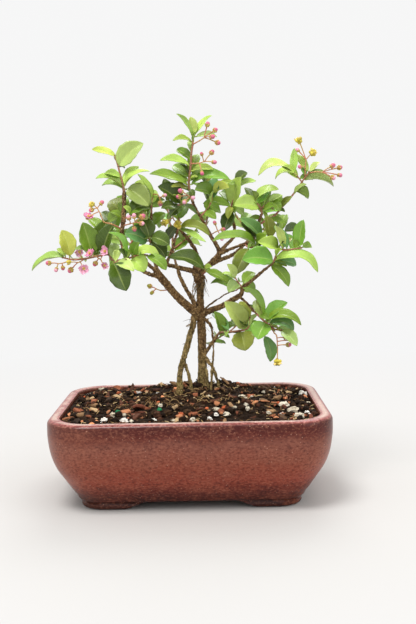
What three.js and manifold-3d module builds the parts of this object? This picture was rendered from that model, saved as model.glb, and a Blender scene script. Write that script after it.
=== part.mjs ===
// A Barbados cherry bonsai in its glazed pot, in millimetres, +Z up, standing on z = 0.
// The crown is wider than the pot, and its stems and leaves are laid out as they are seen from the front:
// each x and z is read on the plane through the pot's middle, and the helper "seen" moves it to its depth y.
import * as THREE from 'three';
import { mergeVertices } from 'three/addons/utils/BufferGeometryUtils.js';
import Module from 'manifold-3d';

const POT_WIDTH = 178;
const POT_DEPTH = 138;
const POT_HEIGHT = 58;
const CORNER_RADIUS = 25.6;
const FOOT_HEIGHT = 5;
const FLOOR_TOP = 11;
const DRAIN_RADIUS = 6;
const DRAIN_X = 32;
const GAP = 0.35;
const SOIL_EDGE = 55.4;
const MOUND_TOP = 65;
const BURIED_TO = 42;
const BLADE = 0.9;
const CLEARANCE = 2.1;
const EYE = new THREE.Vector3(13, -596, 178);

const wasm = await Module();
wasm.setup();

const vec = (x, y, z) => new THREE.Vector3(x, y, z);

// The real point at depth y that is seen at x, z on the plane y = 0.
function seen(x, y, z) {
  const nearness = (y - EYE.y) / -EYE.y;
  return vec(x, 0, z).sub(EYE).multiplyScalar(nearness).add(EYE);
}

// A repeatable draw between 0 and 1.
function draw(seed) {
  const value = Math.sin(seed * 12.9898 + 4.1414) * 43758.5453;
  return value - Math.floor(value);
}

const between = (seed, low, high) => low + (high - low) * draw(seed);

function asManifold(geometry) {
  geometry.deleteAttribute('normal');
  geometry.deleteAttribute('uv');
  const merged = mergeVertices(geometry, 1e-4);
  const triVerts = new Uint32Array(merged.index.array);
  const vertProperties = new Float32Array(merged.attributes.position.array);
  return new wasm.Manifold(new wasm.Mesh({ numProp: 3, vertProperties, triVerts }));
}

function join(solids) {
  let whole = solids[0];
  for (const solid of solids.slice(1)) {
    whole = whole.add(solid);
  }
  return whole;
}

// A closed skin through rings of equal count; the rings run along the solid, to a flat end or to a point.
function loft(rings, capOrder, apex) {
  const count = rings[0].length;
  const positions = [];
  const index = [];
  for (const point of rings.flat()) {
    positions.push(point.x, point.y, point.z);
  }
  for (let r = 0; r < rings.length - 1; r += 1) {
    for (let i = 0; i < count; i += 1) {
      const a = r * count + i;
      const b = r * count + ((i + 1) % count);
      index.push(a, b, b + count, a, b + count, a + count);
    }
  }
  const order = capOrder ?? fan(count);
  const last = (rings.length - 1) * count;
  for (const [a, b, c] of order) {
    index.push(a, c, b);
    if (!apex) {
      index.push(last + a, last + b, last + c);
    }
  }
  if (apex) {
    positions.push(apex.x, apex.y, apex.z);
    for (let i = 0; i < count; i += 1) {
      index.push(last + i, last + ((i + 1) % count), last + count);
    }
  }
  const geometry = new THREE.BufferGeometry();
  geometry.setAttribute('position', new THREE.Float32BufferAttribute(positions, 3));
  geometry.setIndex(outward(positions, index));
  return geometry;
}

function fan(count) {
  const order = [];
  for (let i = 1; i < count - 1; i += 1) {
    order.push([0, i, i + 1]);
  }
  return order;
}

// Turns every triangle over when the skin would face in.
function outward(positions, index) {
  const corner = (i) => vec(positions[3 * i], positions[3 * i + 1], positions[3 * i + 2]);
  let volume = 0;
  for (let t = 0; t < index.length; t += 3) {
    const [a, b, c] = [corner(index[t]), corner(index[t + 1]), corner(index[t + 2])];
    volume += a.dot(b.cross(c));
  }
  if (volume > 0) {
    return index;
  }
  const turned = [];
  for (let t = 0; t < index.length; t += 3) {
    turned.push(index[t], index[t + 2], index[t + 1]);
  }
  return turned;
}

// A tapered stem through points with their own radii, with flat ends.
function stem(points, radii, sides) {
  const rings = [];
  let side = null;
  points.forEach((point, i) => {
    const before = points[Math.max(i - 1, 0)];
    const after = points[Math.min(i + 1, points.length - 1)];
    const along = after.clone().sub(before).normalize();
    if (side === null) {
      side = Math.abs(along.z) > 0.8 ? vec(1, 0, 0) : vec(0, 0, 1);
    }
    side = side.sub(along.clone().multiplyScalar(side.dot(along))).normalize();
    const across = along.clone().cross(side);
    const ring = [];
    for (let k = 0; k < sides; k += 1) {
      const angle = (2 * Math.PI * k) / sides;
      const offset = side.clone().multiplyScalar(Math.cos(angle) * radii[i]);
      offset.addScaledVector(across, Math.sin(angle) * radii[i]);
      ring.push(point.clone().add(offset));
    }
    rings.push(ring);
  });
  return asManifold(loft(rings));
}

// A stem from a list of [x, y, z, radius] seen from the front; extra widens it for its hole.
function stemSeen(line, sides, extra = 0) {
  const points = line.map(([x, y, z]) => seen(x, y, z));
  return stem(points, line.map((p) => p[3] + extra), sides);
}

function box(width, depth, height, x, y, z) {
  const geometry = new THREE.BoxGeometry(width, depth, height);
  geometry.translate(x, y, z);
  return asManifold(geometry);
}

// The pot.
const OUTER_LINE = [
  [FOOT_HEIGHT, 18.6], [7.9, 16.6], [19, 9.2], [27, 4.3], [36, 1.3], [46, -0.1], [55.6, 0], [57.3, 1.2],
  [POT_HEIGHT, 3.8],
];
const INNER_LINE = [[FLOOR_TOP, 23], [14, 19], [24, 12.6], [36, 8.6], [48, 7.6], [57.2, 7.4], [61, 7.2]];
const FOOT_LINE = [[0, 20.2], [1.4, 18.9], [6, 18.1]];
const FOOT_WALL = 9;
const FOOT_GAP_X = 36;
const FOOT_GAP_Y = 20;
const CORNER_STEPS = 4;

function roundedRing(inset, z) {
  const halfWidth = POT_WIDTH / 2 - inset;
  const halfDepth = POT_DEPTH / 2 - inset;
  const radius = Math.max(CORNER_RADIUS - inset * 0.55, 4);
  const ring = [];
  const corners = [[1, 1, 0], [-1, 1, 90], [-1, -1, 180], [1, -1, 270]];
  for (const [sx, sy, start] of corners) {
    for (let k = 0; k <= CORNER_STEPS; k += 1) {
      const angle = ((start + (90 * k) / CORNER_STEPS) * Math.PI) / 180;
      const x = sx * (halfWidth - radius) + radius * Math.cos(angle);
      const y = sy * (halfDepth - radius) + radius * Math.sin(angle);
      ring.push(vec(x, y, z));
    }
  }
  return ring;
}

function ringSolid(levels) {
  return asManifold(loft(levels.map(([z, inset]) => roundedRing(inset, z))));
}

function drill(x, radius, low, high) {
  const geometry = new THREE.CylinderGeometry(radius, radius, high - low, 12);
  geometry.rotateX(Math.PI / 2);
  geometry.translate(x, 0, (low + high) / 2);
  return asManifold(geometry);
}

function buildPot() {
  const body = ringSolid(OUTER_LINE);
  const hollow = ringSolid(INNER_LINE);
  let feet = ringSolid(FOOT_LINE);
  feet = feet.subtract(ringSolid([[-1, 20.2 + FOOT_WALL], [FOOT_HEIGHT, 20.2 + FOOT_WALL]]));
  feet = feet.subtract(box(2 * FOOT_GAP_X, POT_DEPTH, 2 * FOOT_HEIGHT, 0, 0, 0));
  feet = feet.subtract(box(POT_WIDTH, 2 * FOOT_GAP_Y, 2 * FOOT_HEIGHT, 0, 0, 0));
  let pot = body.add(feet).subtract(hollow);
  for (const x of [-DRAIN_X, DRAIN_X]) {
    pot = pot.subtract(drill(x, DRAIN_RADIUS, 0, FLOOR_TOP + 2));
  }
  return pot;
}

// A square of plastic mesh lies on the floor over each drain hole.
const SCREEN_SIZE = 21;
const SCREEN_THICK = 1.2;
const SCREEN_OPENING = 6.4;
const SCREEN_PITCH = 9;

function buildScreen(x) {
  const z = FLOOR_TOP + GAP + SCREEN_THICK / 2;
  let screen = box(SCREEN_SIZE, SCREEN_SIZE, SCREEN_THICK, x, 0, z);
  for (const i of [-0.5, 0.5]) {
    for (const j of [-0.5, 0.5]) {
      const opening = box(SCREEN_OPENING, SCREEN_OPENING, 4, x + i * SCREEN_PITCH, j * SCREEN_PITCH, z);
      screen = screen.subtract(opening);
    }
  }
  return screen;
}

// The wood: lists of [x, y, z, radius] as seen from the front.
const TRUNK = [
  [8, 10, BURIED_TO, 3.2], [8, 10, 60, 3.9], [8, 10, 66, 3.6], [7.8, 10, 72, 3.2], [8.2, 10, 85, 2.9],
  [8, 10, 100, 2.8], [7.8, 10, 112, 2.9], [7.4, 10, 120, 2.7], [7.6, 9.5, 130, 2.3], [7.4, 9, 137, 2.7],
  [6.8, 8, 142, 3.5], [6.8, 8, 147, 3.4], [8, 8, 151, 2.0],
];
const BRANCHES = [
  [[7, 9, 113, 2.4], [5, 8, 117, 3.0], [0, 6, 121.5, 2.8], [-8.5, 2, 129.5, 2.5], [-13, -2, 135, 2.4],
    [-17, -6, 140, 2.6], [-20, -10, 144, 2.4], [-22, -12, 148.5, 1.6]],
  [[-19, -9, 142, 1.6], [-27, -12, 144.5, 1.25], [-33, -15, 148, 1.05], [-37, -17, 152, 1.0],
    [-42, -18, 153.5, 1.0]],
  [[-41, -17.5, 153, 1.2], [-43, -17, 163, 1.3], [-43.5, -16.5, 172, 1.4], [-42, -16, 180, 1.4],
    [-41.3, -15, 190, 1.35], [-41, -14, 198, 1.3]],
  [[-20.5, -9, 146, 1.3], [-23, -7, 158, 1.2], [-23.5, -5, 170, 1.0], [-23.5, -3, 184, 0.8]],
  [[5, 8, 145, 1.9], [-3, 5, 147, 1.5], [-10, 2, 149, 1.3], [-14, 2, 150.5, 1.2], [-11.5, 2, 157, 1.0],
    [-8.8, 4, 165, 0.9], [-6.5, 6, 172, 0.8]],
  [[6.5, 9, 147, 1.8], [6, 12, 154, 1.5], [4.5, 14, 160, 1.3], [0, 15, 167, 1.1], [-4, 15, 172, 1.0],
    [-8, 14, 178, 0.9]],
  [[8, 8, 145.5, 2.2], [13, 9, 148.5, 1.9], [17, 9, 152.5, 1.8], [21, 10, 157, 1.8], [18.5, 9, 163, 1.3],
    [15, 8, 169, 1.2], [12, 7, 175, 1.1], [8.5, 6, 181.5, 1.0], [5, 5, 188, 0.9], [3, 5, 194, 0.9]],
  [[20, 9.5, 156, 1.6], [25, 15, 162, 1.2], [30, 20, 167, 1.1], [31, 22, 173, 1.1], [30, 22, 179, 1.0]],
  [[20.5, 9.5, 156.5, 1.6], [28, 7, 159.5, 1.05], [35, 3, 162, 0.95], [42, 0, 164.5, 0.95],
    [45, -2, 171, 1.0], [47, -3, 177, 1.0], [49, -4, 182, 0.9]],
  [[8, 9.5, 116, 2.2], [14, 6, 119, 2.0], [20, 2, 121, 1.9], [26, -2, 124, 1.8], [32, -5, 127.5, 1.7],
    [35, -7, 130, 1.5], [36, -8, 134, 1.3], [40, -9, 137, 1.2], [44, -10, 140, 1.1], [48, -11, 143.5, 1.0],
    [52, -12, 146.5, 0.9]],
  [[33, -5.5, 128, 1.0], [38, -8, 124, 0.8], [42, -9, 119, 0.75], [45, -10, 116, 0.7]],
  [[8.5, 10, 89, 1.6], [10.5, 9, 91, 1.3], [14, 6, 96, 1.1], [18, 4, 101.5, 1.1]],
  [[8, 12, 118, 0.8], [14, 14, 123, 0.6], [20, 15, 127, 0.5], [25, 15, 130, 0.5], [31, 14, 132, 0.5]],
  [[7, 11, 110, 1.8], [6, 20, 118, 1.7], [2, 30, 127, 1.5], [-4, 38, 138, 1.3], [-8, 43, 150, 1.1]],
  [[12, 9, 148, 1.5], [20, 20, 152, 1.4], [30, 33, 156, 1.2], [37, 43, 162, 1.0]],
  [[-12.5, -2, 135, 1.6], [-18, 10, 143, 1.4], [-26, 22, 150, 1.2], [-32, 32, 158, 1.0]],
];
const ROOTS = [
  [[4, 8, 117, 1.5], [3, 7, 115, 1.7], [2.5, 5.5, 110, 2.0], [0, 4, 102, 2.0], [-2, 3, 95, 2.0],
    [-4, 1, 88, 1.9], [-6, 0, 82, 1.8], [-7, -1, 76, 1.7], [-7, -2, 66, 1.8], [-7, -2, BURIED_TO, 1.2]],
  [[0.5, 4.5, 106, 1.4], [-1.5, 1.4, 97, 0.8], [-4.3, -0.6, 90, 0.8], [-6.8, -1.4, 83, 0.8],
    [-8.3, -2.4, 75, 0.9], [-8.7, -3, 66, 0.9], [-8.8, -3, BURIED_TO, 0.7]],
  [[-4.5, 0.5, 86, 1.0], [-2.5, 1, 80, 1.1], [-1, 1, 75, 1.1], [0.3, 1, 66, 1.1], [0.6, 1, BURIED_TO, 0.8]],
  [[9.5, 9, 114, 1.2], [13.5, 5, 110, 1.0], [15, 4, 106, 0.8], [15.5, 3, 98, 0.65], [15.5, 3, 90, 0.65],
    [15, 3, 84, 0.7], [14.4, 3, 78, 0.8], [13.6, 2, 66, 0.8], [13.5, 2, BURIED_TO, 0.6]],
  [[8.5, 9, 91, 1.4], [11, 7, 86, 1.2], [14, 6.5, 82, 1.1], [16, 6.5, 78, 1.0], [17.5, 6.5, 73, 1.0],
    [19, 6, 66, 1.0], [20, 6, BURIED_TO, 0.8]],
  [[8.4, 9.3, 83.6, 1.35], [10.7, 5.2, 78.4, 1.0], [11.3, 4, 72, 0.9], [12, 4, 64, 0.8], [12, 4, BURIED_TO, 0.7]],
];
const TRUNK_SIDES = 7;
const BRANCH_SIDES = 5;
const ROOT_SIDES = 5;
const TWIG_SIDES = 4;

function buildWood(extra) {
  const solids = [stemSeen(TRUNK, TRUNK_SIDES, extra)];
  for (const line of ROOTS) {
    solids.push(stemSeen(line, ROOT_SIDES, extra));
  }
  if (extra === 0) {
    for (const line of BRANCHES) {
      const sides = line[0][3] > 1.35 ? BRANCH_SIDES : TWIG_SIDES;
      solids.push(stemSeen(line, sides, 0));
    }
  }
  return join(solids);
}

// The soil fills the pot in a low mound, with bark chips and pale perlite grains pressed into its top.
const MOUND_RINGS = 5;
const CHIP_COUNT = 11;
const GRAIN_COUNT = 12;

function soilHeight(x, y) {
  const reach = Math.hypot((x - 8) / 78, (y - 6) / 58);
  const mound = (MOUND_TOP - SOIL_EDGE) * Math.max(0, 1 - reach) ** 1.1;
  const ripple = 0.5 * Math.sin(x * 0.12 + 1) * Math.cos(y * 0.13);
  return SOIL_EDGE + mound + ripple;
}

function buildSoil(woodHole) {
  const under = [[FLOOR_TOP + GAP, 23], ...INNER_LINE.slice(1, 5)];
  const rings = under.map(([z, inset]) => roundedRing(inset + GAP, z));
  const edge = roundedRing(7.5 + GAP, SOIL_EDGE);
  for (let k = 0; k < MOUND_RINGS; k += 1) {
    const share = 1 - k / MOUND_RINGS;
    rings.push(edge.map((p) => {
      const x = p.x * share + 8 * (1 - share);
      const y = p.y * share + 6 * (1 - share);
      return vec(x, y, k === 0 ? SOIL_EDGE : soilHeight(x, y));
    }));
  }
  let soil = asManifold(loft(rings));
  for (let k = 0; k < CHIP_COUNT; k += 1) {
    soil = soil.add(chip(k));
  }
  for (let k = 0; k < GRAIN_COUNT; k += 1) {
    soil = soil.add(grain(k));
  }
  for (const x of [-DRAIN_X, DRAIN_X]) {
    const size = SCREEN_SIZE + 2 * GAP;
    soil = soil.subtract(box(size, size, 2 * (SCREEN_THICK + 2 * GAP), x, 0, FLOOR_TOP));
  }
  return soil.subtract(woodHole);
}

// A place on the soil that keeps away from the stems' holes.
function spotOnSoil(seed) {
  const x = between(seed, -70, 70);
  const y = between(seed + 0.5, -52, 52);
  const nearStems = Math.abs(x - 6) < 24 && Math.abs(y - 4) < 17;
  const away = nearStems ? vec(x, y < 4 ? y - 22 : y + 22, 0) : vec(x, y, 0);
  away.z = soilHeight(away.x, away.y);
  return away;
}

function chip(k) {
  const geometry = new THREE.BoxGeometry(between(k + 70, 4, 9), between(k + 90, 3, 5), between(k + 60, 1.2, 2.2));
  geometry.rotateX(between(k + 20, -0.3, 0.3));
  geometry.rotateY(between(k + 30, -0.3, 0.3));
  geometry.rotateZ(between(k + 40, 0, Math.PI));
  const spot = spotOnSoil(k + 200);
  geometry.translate(spot.x, spot.y, spot.z - 0.2);
  return asManifold(geometry);
}

function grain(k) {
  const geometry = new THREE.OctahedronGeometry(between(k + 10, 1.3, 2.3));
  geometry.rotateX(between(k + 15, 0, 3));
  geometry.rotateZ(between(k + 45, 0, 3));
  const spot = spotOnSoil(k + 300);
  if (k % 2 === 0) {
    spot.y = between(k + 500, -56, -42);
    spot.z = soilHeight(spot.x, spot.y);
  }
  geometry.translate(spot.x, spot.y, spot.z - 0.3);
  return asManifold(geometry);
}

// The leafy shoots. Twigs are lists of [x, y, z, radius]; a leaf is its blade's base x, z and tip x, z, how far
// its tip comes behind its base, its width, how much of that width faces the front, and the height of its arch.
const SHOOTS = [
  ['leafy_left_tip', 'lime', [
    [[-43, -18.4, 153.6, 0.85], [-50, -18, 153.5, 0.85], [-52.5, -17, 157.5, 0.8], [-60, -16, 156.5, 0.7],
      [-68, -14, 155, 0.65], [-76, -12, 154.5, 0.6], [-83, -10, 156, 0.5]],
  ], [
    [-82, 156.5, -103.3, 147.5, 0, 8, 0.5, 3], [-81, 157, -86.5, 162, 3, 4, 0.8, 0],
    [-78, 157, -83, 174, 2, 11, 0.95, 0.5], [-64, 157.5, -69, 179, -3, 13, 0.95, 0.5],
    [-65, 156.5, -79, 163, -10, 8, 0.55, 2], [-56, 158.5, -49, 178, 4, 11, 0.9, 1],
    [-61, 158, -52, 180, 14, 10, 0.85, 1], [-49, 155, -49.5, 168, -10, 9, 0.9, 1],
  ]],
  ['leafy_left_front', 'bright', [
    [[-40, -20, 152.9, 0.8], [-40, -25, 154, 0.75], [-40.5, -31, 154.5, 0.6], [-41, -35, 154, 0.45]],
    [[-40.4, -29, 154.3, 0.6], [-45, -31, 153, 0.5], [-49, -33, 152, 0.45]],
    [[-40, -25, 154, 0.6], [-36, -27, 156, 0.55], [-30, -29, 157, 0.45], [-27, -30, 156.5, 0.4]],
  ], [
    [-41, 156, -51, 173.5, -6, 8, 0.6, 2.5], [-49.5, 151.5, -41.5, 133, -5, 14, 0.95, 1],
    [-47.5, 151, -36, 146, -6, 8, 0.65, 1.5], [-37, 154.5, -29, 145.5, -4, 12, 0.95, 1],
    [-35.5, 157, -19, 153, 2, 8, 0.7, 4.5], [-27, 155.5, -14.5, 146.5, -2, 8, 0.7, 1.5],
    [-36, 157.5, -33, 165, -5, 7, 0.9, 0.5],
  ]],
  ['leafy_left_top', 'lime', [
    [[-41.2, -13.8, 198.6, 1.05], [-42, -13, 204, 0.75], [-43.4, -12.5, 210, 0.65], [-44.5, -12, 215, 0.6],
      [-46.5, -12, 222, 0.5]],
  ], [
    [-44, 215.5, -28.5, 230.5, -4, 13, 0.95, 1], [-46.2, 221.5, -62, 227.5, 2, 5, 0.8, 1],
    [-42, 202, -59.5, 208, -5, 8, 0.5, 2], [-42.3, 201, -56, 203.5, 6, 7, 0.5, 1.5],
    [-41.4, 203, -31, 214.5, 5, 7, 0.55, 1], [-41, 201.8, -24, 212, -6, 8, 0.5, 3],
    [-38.5, 200.5, -25, 189, -6, 13, 0.95, 1],
  ]],
  ['leafy_left_stem', 'dark', [
    [[-40.1, -17.4, 181.2, 0.65], [-38, -19, 182.5, 0.6], [-35, -20, 183.5, 0.5]],
  ], [
    [-38, 183.2, -24, 187, -3, 10, 0.8, 4], [-35.5, 183, -26, 180.5, 4, 9, 0.7, 0.5],
    [-37, 183, -33, 193, 5, 7, 0.85, 0.5],
  ]],
  ['leafy_left_behind', 'mid', [
    [[-42.4, -14, 181, 0.6], [-43.5, -8, 182.5, 0.55], [-44.5, 0, 183.5, 0.5], [-45, 8, 186, 0.4]],
  ], [
    [-44.2, 184, -51, 193.5, 2, 13, 0.9, 1], [-44, 183.5, -34, 190, 6, 9, 0.8, 1],
    [-44.5, 183, -52, 178, 6, 9, 0.8, 1], [-45, 186, -39, 196, 8, 9, 0.8, 1],
    [-45, 186, -52, 186, 12, 9, 0.8, 1],
  ]],
  ['leafy_left_mid', 'lime', [
    [[-23.5, -2.9, 184.6, 0.7], [-23.3, -2, 190, 0.6], [-22.5, -1.5, 197, 0.5]],
  ], [
    [-24, 189, -29, 210, -3, 8, 0.7, 1], [-24.8, 197, -34, 204, 4, 8, 0.75, 1.5],
    [-22.3, 191, -21, 199.5, -4, 6, 0.8, 0.5], [-22.9, 188, -14, 193, 6, 9, 0.8, 1],
  ]],
  ['leafy_left_inner', 'dark', [
    [[-24, -8, 164.5, 0.65], [-25, -11, 165.5, 0.6], [-25.5, -15, 167.5, 0.5]],
  ], [
    [-27, 165.5, -41.5, 171, -4, 13, 0.9, 1.5], [-25.5, 168.5, -30, 182, -2, 10, 0.9, 1],
    [-24.5, 165, -14.5, 155, -6, 9, 0.9, 1], [-24, 168, -12, 163, -3, 10, 0.85, 1.5],
  ]],
  ['leafy_knot_front', 'dark', [
    [[10.5, 4.6, 143.6, 0.65], [11, 1, 144.6, 0.55], [11, -3, 146.5, 0.45]],
  ], [
    [10.4, 146.5, -13, 155, -10, 11, 0.75, 3.5], [12, 145, 28, 137, -6, 6, 0.8, 1],
  ]],
  ['leafy_fork_left', 'mid', [
    [[-6.4, 6.1, 172.6, 0.65], [-5, 8, 177, 0.5], [-5.5, 8, 180.5, 0.4]],
  ], [
    [-4.8, 174, 15, 169.5, -10, 7, 0.7, 3.5], [-4.8, 173.4, 12, 164.5, -14, 4, 0.8, 1],
    [-7, 175, -14, 166, -6, 7, 0.9, 0.5], [-6, 175.5, -9.5, 164.5, -9, 6, 0.85, 0.5],
    [-5.2, 180, -1, 189, 8, 8, 0.8, 0.5],
  ]],
  ['leafy_crown', 'mid', [
    [[2.9, 5, 194.6, 0.85], [1.5, 5, 201, 0.85], [2, 4.5, 208, 0.8], [3, 4, 215, 0.75], [3.5, 4, 222, 0.7],
      [4.5, 4, 228, 0.65], [5, 4, 233, 0.55]],
  ], [
    [0.5, 202, -24, 210, -8, 9, 0.65, 2], [1, 204.5, -9, 207.5, 5, 5, 0.8, 0.5],
    [3, 202, 28.5, 206, -6, 9, 0.6, 4], [3, 205, 12, 211, 5, 6, 0.8, 0.5],
    [0.5, 200, -10, 201.5, -10, 5, 0.7, 0.5], [2.6, 199, 6, 189.5, -8, 7, 0.85, 0.5],
    [2, 214.5, -17, 220, -5, 7, 0.6, 1.5], [4, 211, 18, 212, -4, 5, 0.7, 1.5],
    [4, 230, -8.5, 231.5, -4, 5, 0.5, 1.5], [5.2, 228, 16, 222, 5, 8, 0.9, 1],
    [7, 233.3, 21.5, 234, 8, 4, 0.8, 1], [5, 234, 3.5, 246, 2, 6, 0.85, 0.5],
    [4.4, 234, -4.5, 248.5, -3, 4, 0.8, 1], [5.7, 234, 17, 248.3, 5, 4, 0.8, 1],
    [2.8, 210, 8, 222, 11, 8, 0.8, 1], [1.5, 207, -9, 216, 12, 8, 0.8, 1],
    [3.2, 218, -6, 225, 9, 6, 0.8, 1],
  ]],
  ['leafy_crown_low', 'dark', [
    [[3.2, 4.6, 189.2, 0.6], [0, 4, 189.5, 0.55], [-4, 3, 189.5, 0.5], [-7.5, 2, 188.5, 0.4]],
  ], [
    [-4.5, 190.5, -21.5, 203, -4, 14, 0.9, 1.5], [-8, 188.3, -16, 188, -8, 7, 0.85, 0.5],
    [-4, 188.3, -11, 182, -4, 8, 0.85, 0.5], [-1, 190, 0, 197, 8, 7, 0.8, 0.5],
  ]],
  ['leafy_centre_right', 'bright', [
    [[10.3, 6.4, 182.6, 0.65], [13, 7, 186, 0.6], [16, 8, 191, 0.55], [16.8, 8, 197, 0.45]],
  ], [
    [15.8, 196, 5.5, 199, -7, 10, 0.85, 1], [17.5, 197, 28, 200.5, -3, 8, 0.8, 1],
    [16.8, 193, 19.5, 206, 5, 8, 0.85, 0.5], [12, 184, 19, 179.5, -5, 6, 0.85, 0.5],
    [14.5, 188.5, 22, 184, 9, 8, 0.8, 0.5],
  ]],
  ['leafy_right_top', 'lime', [
    [[30, 22, 179.6, 0.8], [29.5, 21, 184, 0.7], [29.3, 20, 188, 0.6], [31, 19, 194, 0.5], [31.8, 18, 200, 0.45],
      [33, 18, 203, 0.4]],
  ], [
    [30.2, 189, 36, 206.5, -5, 12, 0.9, 1], [32.7, 203, 40, 210, 4, 7, 0.85, 0.5],
    [31.6, 201.5, 22.5, 204.5, -3, 4, 0.8, 0.5], [32.2, 200.5, 46, 205, 4, 5, 0.75, 0.8],
    [29, 187, 26.5, 180, -6, 5, 0.85, 0.3], [29.2, 184, 24, 171.5, -7, 9, 0.9, 0.5],
    [28.4, 187.5, 10, 191, -6, 8, 0.7, 1.5], [30, 186, 38, 182, 10, 9, 0.8, 1],
    [30.2, 190, 22, 198, 12, 9, 0.8, 1],
  ]],
  ['leafy_right_inner', 'lime', [
    [[49.1, -4, 182.6, 0.75], [48.5, -4.5, 186, 0.7], [46, -5, 189, 0.6], [44, -5, 191, 0.5]],
    [[48.6, -4.5, 185.5, 0.6], [52, -5, 188.5, 0.5], [55, -5, 191, 0.4]],
  ], [
    [43.7, 191, 38, 199.5, 4, 5, 0.85, 0.3], [45, 191, 60.5, 199, -5, 8, 0.6, 3],
    [46.5, 189.5, 54, 198.5, 3, 9, 0.8, 0.5], [55.3, 190.8, 61.5, 184, -4, 6, 0.8, 0.5],
    [50, 184.5, 58, 188, -6, 5, 0.8, 0.5], [47, 186.5, 31, 188.5, -7, 11, 0.85, 1.5],
    [45, 190, 36, 193, 7, 6, 0.8, 0.5],
  ]],
  ['leafy_right_stem', 'mid', [
    [[43, -1.9, 165, 0.55], [46, -5, 165.8, 0.55], [50, -8, 165.8, 0.5], [54, -10, 165.5, 0.4]],
  ], [
    [48, 166.5, 35, 179.5, -5, 8, 0.8, 1.5], [53.7, 166.3, 52.5, 181, -3, 8, 0.85, 0.5],
    [45.5, 167, 36, 177, 2, 9, 0.85, 0.5],
  ]],
  ['leafy_right_tip', 'lime', [
    [[47.9, -2.1, 175.7, 0.7], [52, -1, 178, 0.7], [58, 0, 181.5, 0.7], [62, 0, 186, 0.65], [66, -1, 190, 0.65],
      [71, -2, 196, 0.6], [76, -4, 203, 0.55], [80.5, -5, 209, 0.45]],
    [[75.7, -4, 202.5, 0.5], [73, -5, 206, 0.45], [70.5, -6, 208.5, 0.4]],
  ], [
    [70, 208.5, 45.5, 209, -4, 8, 0.5, 6], [73, 205, 56.5, 206, 6, 9, 0.55, 4.5],
    [77.5, 204, 98, 201.5, -4, 10, 0.6, 1.5], [70.5, 209, 71, 225, 2, 5, 0.55, 0.5],
    [79.8, 209.5, 71, 221.5, 5, 5, 0.8, 0.5], [81, 209.6, 87.5, 215, 6, 4, 0.8, 0.3],
    [52.5, 177.4, 64.5, 176.5, -5, 5, 0.7, 0.8], [62.5, 187, 55, 193, 9, 8, 0.8, 0.5],
    [71.5, 197, 80, 192, 8, 8, 0.8, 0.8],
  ]],
  ['leafy_right_low', 'bright', [
    [[52.7, -12.2, 147.1, 0.8], [56, -14, 150, 0.8], [58, -15, 154, 0.7], [60, -16, 158.5, 0.65],
      [66, -17, 158.3, 0.6], [75, -18, 159.5, 0.5]],
  ], [
    [56, 151.5, 36, 153, -6, 13, 0.9, 1], [57.5, 151.5, 88.5, 144, -6, 9, 0.65, 7],
    [57.3, 150.8, 73, 149, 6, 9, 0.8, 1], [55, 148.5, 66.5, 134, -4, 8, 0.85, 1.5],
    [59.5, 159, 47, 164, -12, 9, 0.85, 1], [74, 160.5, 76, 178, -2, 10, 0.85, 0.5],
    [65.5, 159.5, 57.5, 174.5, 5, 6, 0.85, 0.5], [63, 160, 59, 173.5, -3, 6, 0.85, 0.5],
    [75.8, 160, 82, 160, 4, 5, 0.8, 0.3], [71, 160, 70, 165, -2, 5, 0.85, 0.2],
  ]],
  ['leafy_right_front', 'mid', [
    [[38.3, 0, 161.6, 0.6], [40, -4, 160.5, 0.55], [44, -7, 160.5, 0.5], [46, -9, 161, 0.4]],
  ], [
    [45, 162, 18, 169.5, -8, 8, 0.7, 2], [40, 159.5, 31, 142.5, -6, 11, 0.9, 1],
    [46, 161.5, 52, 170, -8, 8, 0.8, 0.5],
  ]],
  ['leafy_right_small', 'pale', [
    [[34.4, -9.4, 135, 0.5], [32.5, -11, 138, 0.45], [31, -12, 140.5, 0.4]],
  ], [
    [31, 141, 27, 149.5, -2, 6, 0.85, 0.3], [33, 136.5, 26, 131.5, -4, 8, 0.85, 0.5],
  ]],
  ['leafy_thin_twig', 'mid', [
    [[31.9, 13.7, 132.4, 0.45], [34, 12, 134, 0.45], [36, 10, 136, 0.4]],
  ], [
    [32.5, 134, 14, 139, 5, 8, 0.8, 1], [36.3, 136.5, 44, 130, 6, 8, 0.8, 1],
    [36.3, 136.5, 44, 144, 8, 8, 0.8, 1],
  ]],
  ['leafy_right_bottom', 'mid', [
    [[45.5, -10.1, 115.4, 0.65], [50, -10.5, 111, 0.65], [54, -11, 108, 0.6], [57, -11.5, 105.5, 0.5],
      [61.5, -12, 105, 0.45]],
    [[53, -10.9, 108.6, 0.5], [51.5, -8, 105, 0.45], [50, -7, 102, 0.4]],
  ], [
    [48.5, 114, 36, 134, -5, 9, 0.6, 3], [51, 112, 65.5, 124, 4, 9, 0.8, 1],
    [51.5, 111.2, 74.5, 108, -5, 8, 0.7, 5], [53.5, 109, 70, 105, -11, 9, 0.7, 4],
    [58, 105.8, 70, 103, 5, 5, 0.8, 0.5], [61.8, 104.5, 71.5, 94, -3, 8, 0.85, 1],
    [50.5, 109.8, 45.5, 99, -6, 13, 0.9, 0.8], [50, 101, 54.5, 83, -2, 8, 0.85, 1.5],
    [49.5, 112.5, 44, 126, 5, 7, 0.85, 0.5],
  ]],
  ['leafy_low', 'dark', [
    [[18.5, 3.8, 102.1, 0.85], [20, 3, 104, 0.85], [26, 1, 104.3, 0.8], [33, -1, 105, 0.7], [38, -2, 106, 0.6],
      [40, -2.5, 109, 0.5], [40.5, -3, 114, 0.4]],
  ], [
    [20.5, 105.5, 18, 118, -5, 8, 0.85, 0.5], [26, 105.5, 15, 120, 4, 6, 0.85, 1],
    [34, 104, 37, 91.5, -5, 15, 0.95, 0.8], [35.5, 106.5, 25, 124, -6, 13, 0.9, 1],
    [38.5, 107.5, 33, 121, 4, 9, 0.85, 0.5], [40.4, 114.5, 33, 125, -2, 6, 0.85, 0.5],
  ]],
];

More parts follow.
